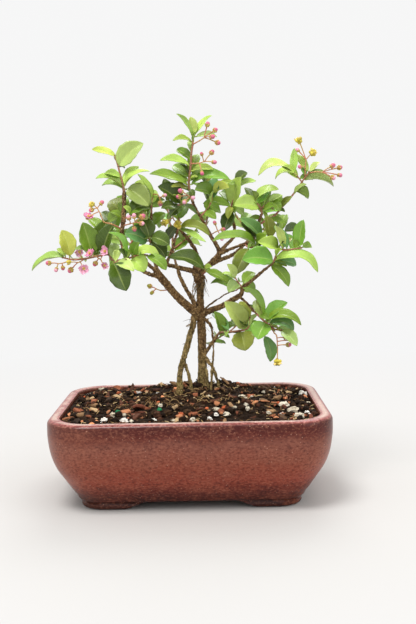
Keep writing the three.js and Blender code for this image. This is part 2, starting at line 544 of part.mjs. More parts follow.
// The shoots at the back and sides carry opposite pairs of leaves, each pair turned across the one before.
const BACK_SHOOTS = [
  ['leafy_back_left', 'mid', [
    [[-32.4, 32.7, 158.7, 0.75], [-38, 38, 164, 0.7], [-44, 44, 168, 0.6], [-48, 48, 173, 0.45]],
    [[-38, 38, 164, 0.55], [-33, 43, 172, 0.5], [-29, 48, 179, 0.4]],
  ], 11],
  ['leafy_back_middle', 'dark', [
    [[-8.2, 43.3, 150.7, 0.85], [-10, 46, 160, 0.8], [-10, 48, 170, 0.7], [-12, 49, 180, 0.6],
      [-13, 49, 190, 0.45]],
    [[-10, 46, 160, 0.6], [-2, 48, 166, 0.5], [5, 50, 172, 0.4]],
  ], 12],
  ['leafy_back_right', 'mid', [
    [[37.3, 43.4, 162.6, 0.75], [42, 46, 168, 0.7], [47, 48, 176, 0.6], [50, 49, 184, 0.45]],
    [[42, 46, 168, 0.5], [36, 49, 175, 0.45], [32, 50, 182, 0.4]],
  ], 13],
  ['leafy_back_crown', 'mid', [
    [[12.2, 8.9, 175.6, 0.75], [13, 16, 180, 0.7], [14, 24, 186, 0.65], [14, 30, 193, 0.5], [13, 34, 201, 0.4]],
  ], 14],
  ['leafy_back_mid_left', 'mid', [
    [[-23.6, -3.1, 173, 0.55], [-24, 6, 175, 0.55], [-26, 15, 179, 0.5], [-28, 23, 184, 0.4]],
  ], 16],
  ['leafy_side_left', 'mid', [
    [[-43.8, -14.3, 168, 0.6], [-46, -6, 168, 0.55], [-50, 3, 168, 0.5], [-55, 12, 167, 0.4]],
  ], 17],
  ['leafy_side_right', 'mid', [
    [[46, -0.3, 171.6, 0.6], [50, 8, 172, 0.55], [57, 16, 171, 0.5], [63, 22, 170, 0.4]],
  ], 18],
  ['leafy_low_back', 'dark', [
    [[15.3, 7.9, 98, 0.55], [20, 14, 101, 0.55], [27, 20, 105, 0.5], [33, 25, 110, 0.4]],
  ], 19],
];

// The flower clusters: stalks as lists of [x, y, z, radius], then each bud or bloom as x, z, its depth behind
// the end of the stalk, its radius and its kind.
const CLUSTERS = [
  ['flowers_crown_top', [
    [[6, 2.6, 228.6, 0.45], [9, 0, 230.5, 0.4], [12, -2, 232.4, 0.4]],
  ], [
    [14.5, 241, -1, 1.7, 'bud'], [19.5, 237.2, -2, 1.6, 'bud'], [17.5, 233, -4, 1.8, 'bud'],
    [21, 229, -3, 1.7, 'bud'],
  ]],
  ['flowers_crown_mid', [
    [[4.4, 2.6, 215.8, 0.45], [8, 0, 216, 0.4], [12, -1, 217, 0.35]],
  ], [
    [17, 223, 0, 1.7, 'bud'], [18.5, 216.5, -2, 1.6, 'bud'], [10.3, 222, -2, 1.2, 'bud'],
    [10.3, 209.5, -6, 1.5, 'bud'],
  ]],
  ['flowers_crown_low', [
    [[3.6, 2.9, 191.4, 0.45], [3.2, -1, 192.5, 0.4], [1, -4, 195, 0.35]],
  ], [
    [-4, 198.2, -3, 1.8, 'bud'], [-1.5, 191, -4, 1.6, 'bud'], [4, 193.5, -5, 1.7, 'bud'],
    [-5.5, 194.5, -1, 1.6, 'bud'],
  ]],
  ['flowers_right_tip', [
    [[82, -6, 208.6, 0.45], [85, -7, 209, 0.4], [89, -7, 208.6, 0.35]],
  ], [
    [96, 212.8, 0, 1.8, 'bud'], [100.6, 211.5, 2, 1.7, 'bud'], [96, 205, -1, 1.8, 'bud'],
    [100.6, 206.5, 1, 1.6, 'bud'],
  ]],
  ['flowers_right_upper', [
    [[77.2, -5.6, 207.4, 0.4], [78, -8, 212, 0.4], [78.5, -9, 217, 0.35]],
  ], [
    [74, 229.5, 0, 2.3, 'spent'], [73, 223.5, 0, 1.4, 'bud'], [83, 221.5, -1, 2.4, 'spent'],
    [74.5, 212.5, -2, 1.4, 'bud'],
  ]],
  ['flowers_right_bottom', [
    [[54.6, -11.6, 105.7, 0.35], [56.5, -13, 103, 0.4], [58, -14, 101, 0.4], [58.5, -14, 92, 0.35],
      [58.3, -14, 86, 0.35]],
  ], [
    [64.5, 100, 0, 1.8, 'bud'], [66, 95, -1, 1.7, 'bud'], [69.5, 98, -2, 1.8, 'bud'], [58.5, 83.5, 0, 2.5, 'spent'],
  ]],
  ['flowers_left_tip', [
    [[-70, -14.8, 153.5, 0.4], [-71.5, -18, 153, 0.4], [-73, -21, 152.5, 0.35]],
  ], [
    [-72, 160, -1, 3.4, 'open'], [-69.5, 148.5, -3, 3.6, 'open'], [-78, 147.5, 0, 1.9, 'bud'],
    [-79, 152.8, -3, 1.6, 'spent'],
  ]],
  ['flowers_left_mid', [
    [[-57.3, -17.6, 155.1, 0.4], [-58, -21, 154.5, 0.35], [-59, -24, 155, 0.35]],
  ], [
    [-64.5, 158, -2, 3.4, 'open'], [-54.5, 159.5, -3, 3.1, 'open'], [-56, 150, -2, 2.6, 'open'],
    [-61.5, 151.5, 0, 1.7, 'bud'],
  ]],
  ['flowers_left_end', [
    [[-79, -12.2, 153.4, 0.4], [-82, -15, 152.6, 0.35], [-86, -16, 152, 0.35]],
  ], [
    [-92.5, 152.5, -1, 1.7, 'bud'], [-87.5, 148, -1, 1.5, 'bud'], [-83, 149, 0, 1.4, 'bud'],
  ]],
  ['flowers_left_upper', [
    [[-45.4, -17, 175, 0.5], [-50, -21, 177.5, 0.45], [-55, -24, 179, 0.4], [-57, -25, 184, 0.4],
      [-59, -25, 188, 0.35]],
  ], [
    [-65.5, 182, -2, 3.4, 'open'], [-62.5, 190.5, 0, 1.9, 'spent'], [-63, 186.8, 0, 1.5, 'bud'],
    [-56, 191.5, 1, 1.6, 'bud'],
  ]],
  ['flowers_left_inner', [
    [[-41.1, -17.7, 176.4, 0.45], [-38, -22, 177.3, 0.4], [-34.5, -26, 178.2, 0.35]],
  ], [
    [-38.5, 181.5, -1, 1.6, 'bud'], [-35, 182.5, -1, 1.6, 'bud'], [-35, 173.8, 0, 1.5, 'bud'],
    [-29.5, 182, 0, 1.9, 'bud'], [-30, 177.5, -1, 1.6, 'bud'],
  ]],
  ['flowers_left_crown', [
    [[-21.2, -2.8, 196.3, 0.35], [-19, -5, 196, 0.35], [-17.8, -6.5, 193.5, 0.35]],
  ], [
    [-17.5, 190.2, 0, 1.7, 'bud'], [-14.5, 195.5, 0, 1.4, 'bud'],
  ]],
  ['flowers_centre', [
    [[-8.7, 13.4, 179.3, 0.45], [-9.5, 8, 180.8, 0.4], [-10, 4, 180.5, 0.35]],
  ], [
    [-14.5, 178, -3, 2.4, 'spent'], [-6.5, 176.5, -6, 2.6, 'spent'], [-10, 184, -4, 1.5, 'bud'],
  ]],
  ['flowers_right_fork', [
    [[16.9, 7, 170, 0.4], [18.5, 4, 171, 0.35], [20, 2, 171.5, 0.35]],
  ], [
    [23.5, 172.5, 0, 1.5, 'bud'], [18, 177, 0, 1.4, 'bud'], [22.5, 166.5, -1, 1.4, 'bud'],
  ]],
  ['flowers_low_left', [
    [[-15.6, -3, 132.8, 0.4], [-18.5, -7, 133, 0.35], [-21.5, -10, 134, 0.35]],
  ], [
    [-26, 136, 0, 1.6, 'bud'], [-24.5, 131.5, 0, 1.4, 'bud'],
  ]],
];

const SWINGS = [0, -4, 4, -8, 8, -12, 12, -16, 16];
const SHRINKS = [[true, 1], [false, 1], [true, 0.85], [false, 0.85], [false, 0.7], [false, 0.55]];
const SPACING = 1.3;
const CELL = 6;
const REACH = 0.9;
const SPARE = 0.3;
const SEAT_GAP = 0.32;
const OWN_SPACING = 1.7;
const INNER_SHARE = 0.35;

// Points already taken by the wood, stalks and leaves, each with its radius and its node.
const taken = new Map();

const cellOf = (p) => `${Math.floor(p.x / CELL)},${Math.floor(p.y / CELL)},${Math.floor(p.z / CELL)}`;

function take(point, radius, node, outer = false) {
  const key = cellOf(point);
  if (!taken.has(key)) {
    taken.set(key, []);
  }
  taken.get(key).push([point, radius, node, outer]);
}

// Blades of one shoot may meet near its twig, but their outer parts keep a little apart where they can.
function crowded(points, radius, node, strict = false) {
  const innermost = points.length * INNER_SHARE;
  for (const [n, point] of points.entries()) {
    const near = strict && n > innermost ? OWN_SPACING : 0;
    const [cx, cy, cz] = cellOf(point).split(',').map(Number);
    for (let i = cx - 1; i <= cx + 1; i += 1) {
      for (let j = cy - 1; j <= cy + 1; j += 1) {
        for (let k = cz - 1; k <= cz + 1; k += 1) {
          for (const [other, otherRadius, otherNode, outer] of taken.get(`${i},${j},${k}`) ?? []) {
            const own = outer ? near : 0;
            const limit = otherNode === node ? own : radius + otherRadius + SPARE;
            if (point.distanceTo(other) < limit) {
              return true;
            }
          }
        }
      }
    }
  }
  return false;
}

function takeBlade(samples, node) {
  samples.forEach((point, n) => take(point, REACH, node, n > samples.length * INNER_SHARE));
}

function takeLine(line, node) {
  for (let i = 0; i < line.length - 1; i += 1) {
    const [a, b] = [line[i], line[i + 1]];
    const [start, end] = [seen(a[0], a[1], a[2]), seen(b[0], b[1], b[2])];
    const steps = Math.ceil(start.distanceTo(end) / SPACING);
    for (let s = 0; s <= steps; s += 1) {
      take(start.clone().lerp(end, s / steps), a[3] + ((b[3] - a[3]) * s) / steps, node);
    }
  }
}

// Moves the foot of a shoot or stalk to a small gap from the side of the stem that it grows from.
function seat(line, parents) {
  const foot = seen(line[0][0], line[0][1], line[0][2]);
  let best = null;
  for (const parent of parents) {
    for (let i = 0; i < parent.length - 1; i += 1) {
      const start = seen(...parent[i].slice(0, 3));
      const run = seen(...parent[i + 1].slice(0, 3)).sub(start);
      const share = Math.min(Math.max(foot.clone().sub(start).dot(run) / run.lengthSq(), 0), 1);
      const nearest = start.clone().addScaledVector(run, share);
      const radius = parent[i][3] + (parent[i + 1][3] - parent[i][3]) * share;
      const distance = nearest.distanceTo(foot) - radius;
      const atEnd = share === 1 && i === parent.length - 2;
      if (best === null || distance < best.distance) {
        best = { distance, nearest, radius, atEnd };
      }
    }
  }
  if (best.atEnd) {
    return;
  }
  const out = foot.clone().sub(best.nearest).normalize();
  const next = seen(line[1][0], line[1][1], line[1][2]).sub(foot).normalize();
  const lean = line[0][3] * Math.sqrt(Math.max(0, 1 - next.dot(out) ** 2));
  const point = best.nearest.clone().addScaledVector(out, best.radius * 0.95 + SEAT_GAP + lean);
  const nearness = (point.y - EYE.y) / -EYE.y;
  const onPlane = point.clone().sub(EYE).divideScalar(nearness).add(EYE);
  line[0] = [onPlane.x, point.y, onPlane.z, line[0][3]];
}

// The nearest place on a shoot's own twigs to a leaf's base, in the seen plane.
function nearestOn(twigs, x, z) {
  let best = null;
  for (const line of twigs) {
    for (let i = 0; i < line.length - 1; i += 1) {
      const [a, b] = [line[i], line[i + 1]];
      const [dx, dz] = [b[0] - a[0], b[2] - a[2]];
      const run = dx * dx + dz * dz;
      const share = run === 0 ? 0 : Math.min(Math.max(((x - a[0]) * dx + (z - a[2]) * dz) / run, 0), 1);
      const spot = a.map((value, n) => value + (b[n] - value) * share);
      const distance = Math.hypot(spot[0] - x, spot[2] - z);
      if (best === null || distance < best.distance) {
        best = { distance, spot };
      }
    }
  }
  return best.spot;
}

// A blade's middle line is a curve from base to tip, raised in its middle by its arch.
function bladeOf(root, base, tip, width, face, arch) {
  const axis = tip.clone().sub(base);
  const length = axis.length();
  const along = axis.clone().normalize();
  const flatten = (v) => v.sub(along.clone().multiplyScalar(v.dot(along))).normalize();
  const toViewer = flatten(EYE.clone().sub(base).normalize());
  const upward = flatten(vec(0, 0, 1).addScaledVector(toViewer, 0.05));
  const tilt = Math.sqrt(1 - face * face);
  const normal = flatten(toViewer.clone().multiplyScalar(face).addScaledVector(upward, tilt));
  const lift = normal.clone().multiplyScalar(0.5).add(upward.clone().multiplyScalar(0.5));
  const middle = base.clone().add(tip).multiplyScalar(0.5).addScaledVector(lift, 2 * arch + 0.05 * length);
  return { root, base, tip, middle, width, length, normal };
}

function bladeAt(blade, t) {
  const centre = blade.base.clone().multiplyScalar((1 - t) * (1 - t));
  centre.addScaledVector(blade.middle, 2 * t * (1 - t)).addScaledVector(blade.tip, t * t);
  const along = blade.middle.clone().sub(blade.base).multiplyScalar(1 - t);
  along.addScaledVector(blade.tip.clone().sub(blade.middle), t).normalize();
  const side = along.clone().cross(blade.normal).normalize();
  const normal = side.clone().cross(along);
  return { centre, side, normal };
}

const OUTLINE_LONG = [[0, 0.14], [0.2, 0.74], [0.47, 1], [0.78, 0.78], [1, 0]];
const OUTLINE_SHORT = [[0, 0.16], [0.32, 0.94], [0.72, 0.82], [1, 0]];
const LONG_LEAF = 21;
const SHORT_LEAF = 9;
const FOLD = 0.16;
const PETIOLE = 0.28;

function widthAt(t) {
  let i = 0;
  while (t > OUTLINE_LONG[i + 1][0]) {
    i += 1;
  }
  const [t0, w0] = OUTLINE_LONG[i];
  const [t1, w1] = OUTLINE_LONG[i + 1];
  return w0 + ((w1 - w0) * (t - t0)) / (t1 - t0);
}

function samplesOf(blade) {
  const samples = [];
  const steps = Math.ceil(blade.length / SPACING);
  for (let s = 0; s <= steps; s += 1) {
    const t = s / steps;
    const { centre, side, normal } = bladeAt(blade, t);
    const half = (blade.width * widthAt(t)) / 2;
    const across = Math.max(1, Math.ceil(half / SPACING));
    for (let k = -across; k <= across; k += 1) {
      const reach = Math.max(half - 0.3, 0) * (k / across);
      samples.push(centre.clone().addScaledVector(side, reach).addScaledVector(normal, Math.abs(reach) * FOLD));
    }
  }
  return samples;
}

// A blade's section is a shallow fold: two thin edges and a thicker middle rib.
const FOLD_CAP = [[0, 1, 3], [1, 2, 3]];

function foldRing(centre, side, normal, half, thick) {
  const edge = half * FOLD * 2;
  const at = (across, rise) => centre.clone().addScaledVector(side, across).addScaledVector(normal, rise);
  return [at(-half, edge), at(0, thick / 2), at(half, edge), at(0, -thick / 2)];
}

function leafSolids(blade) {
  const reach = blade.base.distanceTo(blade.root);
  if (reach < 0.9) {
    blade.base.copy(blade.root);
  }
  const outline = blade.length > LONG_LEAF ? OUTLINE_LONG : OUTLINE_SHORT;
  const stations = blade.length < SHORT_LEAF ? outline.filter((_, i) => i !== 2) : outline;
  const rings = stations.slice(0, -1).map(([t, share]) => {
    const { centre, side, normal } = bladeAt(blade, t);
    return foldRing(centre, side, normal, (blade.width * share) / 2, BLADE);
  });
  if (reach < 0.9) {
    return [asManifold(loft(rings, FOLD_CAP, blade.tip))];
  }
  const toBase = blade.base.clone().sub(blade.root).normalize();
  const { side, normal } = bladeAt(blade, 0);
  const along = normal.clone().cross(side);
  if (Math.abs(toBase.dot(along)) > 0.55) {
    rings.unshift(foldRing(blade.root, side, normal, PETIOLE, 2 * PETIOLE));
    return [asManifold(loft(rings, FOLD_CAP, blade.tip))];
  }
  const inner = bladeAt(blade, 0.06).centre;
  return [asManifold(loft(rings, FOLD_CAP, blade.tip)), stem([blade.root, inner], [PETIOLE, PETIOLE], 4)];
}

const EXTRA_LENGTH = [14, 20];

// A rule's leaves: pairs along each twig, longer near its middle, and one at its end.
function ruleLeaves(twigs, seed) {
  const leaves = [];
  let n = seed * 40;
  for (const line of twigs) {
    const points = line.map(([x, y, z]) => seen(x, y, z));
    for (let i = 0; i < points.length - 1; i += 1) {
      const [start, end] = [points[i], points[i + 1]];
      const along = end.clone().sub(start).normalize();
      if (i % 2 === 0) {
        const root = start.clone().lerp(end, 0.8);
        const turn = between(n, 0, 0.8) + (i % 4) * (Math.PI / 4);
        const across = along.clone().cross(vec(0, 0, 1)).normalize();
        const over = across.clone().cross(along);
        for (const half of [0, Math.PI]) {
          n += 1;
          const out = across.clone().multiplyScalar(Math.cos(turn + half));
          out.addScaledVector(over, Math.sin(turn + half)).addScaledVector(along, 0.55).normalize();
          out.z += 0.12;
          leaves.push([root, out.normalize(), between(n + 0.3, ...EXTRA_LENGTH)]);
        }
      }
      if (i === points.length - 2) {
        leaves.push([end, along.clone().add(vec(0, 0, 0.3)).normalize(), between(n + 0.6, ...EXTRA_LENGTH)]);
      }
    }
  }
  return leaves;
}

function placeRuleLeaf(name, [root, out, length], seed) {
  for (const [strict, shrink] of [[true, 1], [true, 0.82], [false, 1], [false, 0.82], [false, 0.66]]) {
    for (const swing of [0, 0.5, -0.5, 0.9, -0.9]) {
      const way = out.clone().applyAxisAngle(vec(0, 0, 1), swing);
      const base = root.clone().addScaledVector(way, 1.8);
      const tip = root.clone().addScaledVector(way, 1.8 + length * shrink);
      tip.z -= 1.5;
      const blade = bladeOf(root, base, tip, length * shrink * 0.5, between(seed, 0.45, 0.85), 0.8);
      const samples = samplesOf(blade);
      const bounded = samples.every((p) => Math.abs(p.y) < POT_DEPTH / 2 - 1.5 && Math.abs(p.x) < 96);
      if (bounded && !crowded(samples, REACH, name, strict)) {
        takeBlade(samples, name);
        return blade;
      }
    }
  }
  return null;
}

function placeLeaf(name, twigs, [bx, bz, tx, tz, dy, width, face, arch]) {
  const spot = nearestOn(twigs, bx, bz);
  const root = seen(spot[0], spot[1], spot[2]);
  for (const [strict, shrink] of SHRINKS) {
    for (const swing of SWINGS) {
      const tipX = bx + (tx - bx) * shrink;
      const tipZ = bz + (tz - bz) * shrink;
      const depth = spot[1] + (dy + swing) * shrink;
      const blade = bladeOf(root, seen(bx, spot[1], bz), seen(tipX, depth, tipZ), width * shrink, face, arch);
      const samples = samplesOf(blade);
      if (!crowded(samples, REACH, name, strict)) {
        takeBlade(samples, name);
        return blade;
      }
    }
  }
  return null;
}

// An open flower has five clawed, cupped petals that meet in one middle.
const PETALS = 5;
const PETAL_OUTLINE = [[-0.5, 0.22, 0.05], [-0.27, 0.98, 0.34], [0.27, 1, 0.3]];
const PETAL_THICK = 0.7;

function rosette(centre, facing, across, over, radius, seed) {
  const rim = [];
  for (let k = 0; k < PETALS; k += 1) {
    for (const [turn, reach, rise] of PETAL_OUTLINE) {
      const angle = ((k + turn) * 2 * Math.PI) / PETALS;
      const length = radius * reach * between(seed + k, 0.88, 1.08);
      const point = centre.clone().addScaledVector(across, Math.cos(angle) * length);
      point.addScaledVector(over, Math.sin(angle) * length);
      rim.push(point.addScaledVector(facing, rise * radius));
    }
  }
  const above = rim.map((p) => p.clone().addScaledVector(facing, PETAL_THICK / 2));
  const below = rim.map((p) => p.clone().addScaledVector(facing, -PETAL_THICK / 2));
  const start = centre.clone().addScaledVector(facing, -PETAL_THICK);
  const knob = rim.map((p) => p.clone().sub(centre).multiplyScalar(0.04).add(start));
  return asManifold(loft([knob, below, above], null, centre.clone().addScaledVector(facing, PETAL_THICK)));
}

function bloomSolids(root, centre, radius, kind, seed) {
  const along = centre.clone().sub(root).normalize();
  if (kind === 'bud') {
    const neck = centre.clone().addScaledVector(along, -radius);
    const top = centre.clone().addScaledVector(along, radius);
    return [stem([root, neck, centre, top], [0.2, 0.4, radius, 0.3], 4)];
  }
  const solids = [stem([root, centre], [0.2, 0.4], 3)];
  if (kind === 'spent') {
    for (let k = 0; k < 3; k += 1) {
      const turn = between(seed + k, 0, 2) + 2.1 * k;
      const lobe = vec(Math.cos(turn), 0.3, Math.sin(turn)).multiplyScalar(radius * 0.35).add(centre);
      const geometry = new THREE.OctahedronGeometry(radius * 0.8);
      geometry.translate(lobe.x, lobe.y, lobe.z);
      solids.push(asManifold(geometry));
    }
    return solids;
  }
  const facing = EYE.clone().sub(centre).normalize().add(vec(between(seed, -0.5, 0.5), 0, 0.4)).normalize();
  const across = facing.clone().cross(vec(0, 0, 1)).normalize();
  const over = across.clone().cross(facing);
  solids.push(rosette(centre, facing, across, over, radius, seed));
  return solids;
}

function buildCluster(name, stalks, blooms) {
  const solids = stalks.map((line) => stemSeen(line, 3));
  blooms.forEach(([x, z, dy, radius, kind], n) => {
    const spot = nearestOn(stalks, x, z);
    const root = seen(spot[0], spot[1], spot[2]);
    for (const swing of SWINGS) {
      const centre = seen(x, spot[1] + dy + swing, z);
      const steps = Math.ceil(root.distanceTo(centre) / SPACING);
      const samples = [];
      for (let s = 1; s <= steps; s += 1) {
        samples.push(root.clone().lerp(centre, s / steps));
      }
      if (!crowded(samples.slice(1), 0.5, name) && !crowded([centre], radius, name)) {
        samples.forEach((p) => take(p, 0.45, name));
        take(centre, radius, name);
        solids.push(...bloomSolids(root, centre, radius, kind, n + 7));
        return;
      }
    }
  });
  return join(solids);
}

// Everything is set out in one order: wood and twigs first, then flowers, then leaves in the room left.
const TONES = {
  lime: 0x9bb545, bright: 0x6fa03c, mid: 0x5f7d32, dark: 0x35501f, pale: 0xa3b27a,
};

const woodLines = [TRUNK, ...BRANCHES, ...ROOTS];
for (const line of woodLines) {
  takeLine(line, 'tree_wood');
}
const twigLines = [];
for (const [name, , twigs] of [...SHOOTS, ...BACK_SHOOTS]) {
  seat(twigs[0], woodLines);
  twigLines.push(...twigs);
  twigs.forEach((line) => takeLine(line, name));
}
for (const [name, stalks] of CLUSTERS) {
  seat(stalks[0], [...woodLines, ...twigLines]);
  stalks.forEach((line) => takeLine(line, name));
}

const solidsByName = [];
const wood = buildWood(0);
solidsByName.push(['pot', buildPot(), 0x6b3328]);
solidsByName.push(['drain_screen_left', buildScreen(-DRAIN_X), 0x2c2c2c]);
solidsByName.push(['drain_screen_right', buildScreen(DRAIN_X), 0x2c2c2c]);
solidsByName.push(['soil', buildSoil(buildWood(GAP)), 0x3a2a1e]);
solidsByName.push(['tree_wood', wood, 0x6e5a3c]);
for (const [name, stalks, blooms] of CLUSTERS) {
  solidsByName.push([name, buildCluster(name, stalks, blooms), 0xd76e96]);
}
for (const [name, tone, twigs, leaves] of SHOOTS) {
  const solids = twigs.map((line) => stemSeen(line, 4));
  for (const leaf of leaves) {
    const blade = placeLeaf(name, twigs, leaf);
    if (blade !== null) {
      solids.push(...leafSolids(blade));
    }
  }
  solidsByName.push([name, join(solids), TONES[tone]]);
}
for (const [name, tone, twigs, seed] of BACK_SHOOTS) {
  const solids = twigs.map((line) => stemSeen(line, 4));
  ruleLeaves(twigs, seed).forEach((leaf, n) => {
    const blade = placeRuleLeaf(name, leaf, seed * 50 + n);
    if (blade !== null) {
      solids.push(...leafSolids(blade));
    }
  });
  solidsByName.push([name, join(solids), TONES[tone]]);
}

const group = new THREE.Group();
for (const [name, solid, color] of solidsByName) {
  const mesh = solid.getMesh();
  const geometry = new THREE.BufferGeometry();
  geometry.setAttribute('position', new THREE.Float32BufferAttribute(mesh.vertProperties, 3));
  geometry.setIndex(new THREE.Uint32BufferAttribute(mesh.triVerts, 1));
  geometry.computeVertexNormals();
  const piece = new THREE.Mesh(geometry, new THREE.MeshStandardMaterial({ color, roughness: 0.6 }));
  piece.name = name;
  group.add(piece);
}

export default group;
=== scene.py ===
import random
from math import ceil, cos, exp, floor, hypot, pi, radians, sin, sqrt

import bmesh
import bpy
import numpy as np
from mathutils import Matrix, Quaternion, Vector, noise


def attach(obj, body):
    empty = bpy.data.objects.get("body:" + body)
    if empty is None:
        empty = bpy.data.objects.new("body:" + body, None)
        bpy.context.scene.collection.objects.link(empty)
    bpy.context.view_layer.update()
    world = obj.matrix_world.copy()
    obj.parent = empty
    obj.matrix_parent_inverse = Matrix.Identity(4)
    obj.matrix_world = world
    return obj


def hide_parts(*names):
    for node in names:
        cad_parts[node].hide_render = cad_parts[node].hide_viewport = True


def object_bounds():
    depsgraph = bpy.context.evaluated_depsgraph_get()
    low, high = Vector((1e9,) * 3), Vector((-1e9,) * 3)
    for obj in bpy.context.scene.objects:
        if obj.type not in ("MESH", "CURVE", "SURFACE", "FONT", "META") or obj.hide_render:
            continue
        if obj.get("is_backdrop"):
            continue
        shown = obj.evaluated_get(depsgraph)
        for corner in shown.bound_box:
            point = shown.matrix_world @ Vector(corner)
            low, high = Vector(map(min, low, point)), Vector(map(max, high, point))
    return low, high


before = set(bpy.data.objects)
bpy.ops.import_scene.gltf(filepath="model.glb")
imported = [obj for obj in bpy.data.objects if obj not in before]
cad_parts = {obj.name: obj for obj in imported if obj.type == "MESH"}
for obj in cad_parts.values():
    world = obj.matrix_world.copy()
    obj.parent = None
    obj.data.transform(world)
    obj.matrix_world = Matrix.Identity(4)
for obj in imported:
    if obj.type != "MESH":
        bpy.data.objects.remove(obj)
CAD_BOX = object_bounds()

MM = 0.001
POT_WIDTH = 178.0
POT_DEPTH = 138.0
CORNER_RADIUS = 25.6
WALL = 8.0
SOIL_EDGE = 55.4
MOUND_TOP = 65.0
MOUND_MIDDLE = (8, 6)
EYE = np.array([13.0, -596.0, 178.0])
TARGET = np.array([12.5, 0.0, 118.0])
ROLL_DEGREES = -1.08
FOCAL_PIXELS = 900.0
PHOTO_HEIGHT = 624.0

# Stems are rows of points x, y, z and radius, as seen from the front. Commas part the points of a stem, and
# semicolons part the stems.
WOOD = """
8 10 42 3.2, 8 10 60 3.9, 8 10 66 3.6, 7.8 10 72 3.2, 8.2 10 85 2.9, 8 10 100 2.8, 7.8 10 112 2.9,
7.4 10 120 2.7, 7.6 9.5 130 2.3, 7.4 9 137 2.7, 6.8 8 142 3.5, 6.8 8 147 3.4, 8 8 151 2; 7 9 113 2.4,
5 8 117 3, 0 6 121.5 2.8, -8.5 2 129.5 2.5, -13 -2 135 2.4, -17 -6 140 2.6, -20 -10 144 2.4,
-22 -12 148.5 1.6; -19 -9 142 1.6, -27 -12 144.5 1.25, -33 -15 148 1.05, -37 -17 152 1, -42 -18 153.5 1;
-41 -17.5 153 1.2, -43 -17 163 1.3, -43.5 -16.5 172 1.4, -42 -16 180 1.4, -41.3 -15 190 1.35,
-41 -14 198 1.3; -20.5 -9 146 1.3, -23 -7 158 1.2, -23.5 -5 170 1, -23.5 -3 184 .8; 5 8 145 1.9,
-3 5 147 1.5, -10 2 149 1.3, -14 2 150.5 1.2, -11.5 2 157 1, -8.8 4 165 .9, -6.5 6 172 .8; 6.5 9 147 1.8,
6 12 154 1.5, 4.5 14 160 1.3, 0 15 167 1.1, -4 15 172 1, -8 14 178 .9; 8 8 145.5 2.2, 13 9 148.5 1.9,
17 9 152.5 1.8, 21 10 157 1.8, 18.5 9 163 1.3, 15 8 169 1.2, 12 7 175 1.1, 8.5 6 181.5 1, 5 5 188 .9,
3 5 194 .9; 20 9.5 156 1.6, 25 15 162 1.2, 30 20 167 1.1, 31 22 173 1.1, 30 22 179 1; 20.5 9.5 156.5 1.6,
28 7 159.5 1.05, 35 3 162 .95, 42 0 164.5 .95, 45 -2 171 1, 47 -3 177 1, 49 -4 182 .9; 8 9.5 116 2.2,
14 6 119 2, 20 2 121 1.9, 26 -2 124 1.8, 32 -5 127.5 1.7, 35 -7 130 1.5, 36 -8 134 1.3, 40 -9 137 1.2,
44 -10 140 1.1, 48 -11 143.5 1, 52 -12 146.5 .9; 33 -5.5 128 1, 38 -8 124 .8, 42 -9 119 .75, 45 -10 116 .7;
8.5 10 89 1.6, 10.5 9 91 1.3, 14 6 96 1.1, 18 4 101.5 1.1; 8 12 118 .8, 14 14 123 .6, 20 15 127 .5,
25 15 130 .5, 31 14 132 .5; 7 11 110 1.8, 6 20 118 1.7, 2 30 127 1.5, -4 38 138 1.3, -8 43 150 1.1;
12 9 148 1.5, 20 20 152 1.4, 30 33 156 1.2, 37 43 162 1; -12.5 -2 135 1.6, -18 10 143 1.4, -26 22 150 1.2,
-32 32 158 1
"""
ROOTS = """
4 8 117 1.5, 3 7 115 1.7, 2.5 5.5 110 2, 0 4 102 2, -2 3 95 2, -4 1 88 1.9, -6 0 82 1.8, -7 -1 76 1.7,
-7 -2 66 1.8, -7 -2 42 1.2; .5 4.5 106 1.4, -1.5 1.4 97 .8, -4.3 -.6 90 .8, -6.8 -1.4 83 .8,
-8.3 -2.4 75 .9, -8.7 -3 66 .9, -8.8 -3 42 .7; -4.5 .5 86 1, -2.5 1 80 1.1, -1 1 75 1.1, .3 1 66 1.1,
.6 1 42 .8; 9.5 9 114 1.2, 13.5 5 110 1, 15 4 106 .8, 15.5 3 98 .65, 15.5 3 90 .65, 15 3 84 .7,
14.4 3 78 .8, 13.6 2 66 .8, 13.5 2 42 .6; 8.5 9 91 1.4, 11 7 86 1.2, 14 6.5 82 1.1, 16 6.5 78 1,
17.5 6.5 73 1, 19 6 66 1, 20 6 42 .8; 8.4 9.3 83.6 1.35, 10.7 5.2 78.4 1, 11.3 4 72 .9, 12 4 64 .8,
12 4 42 .7
"""

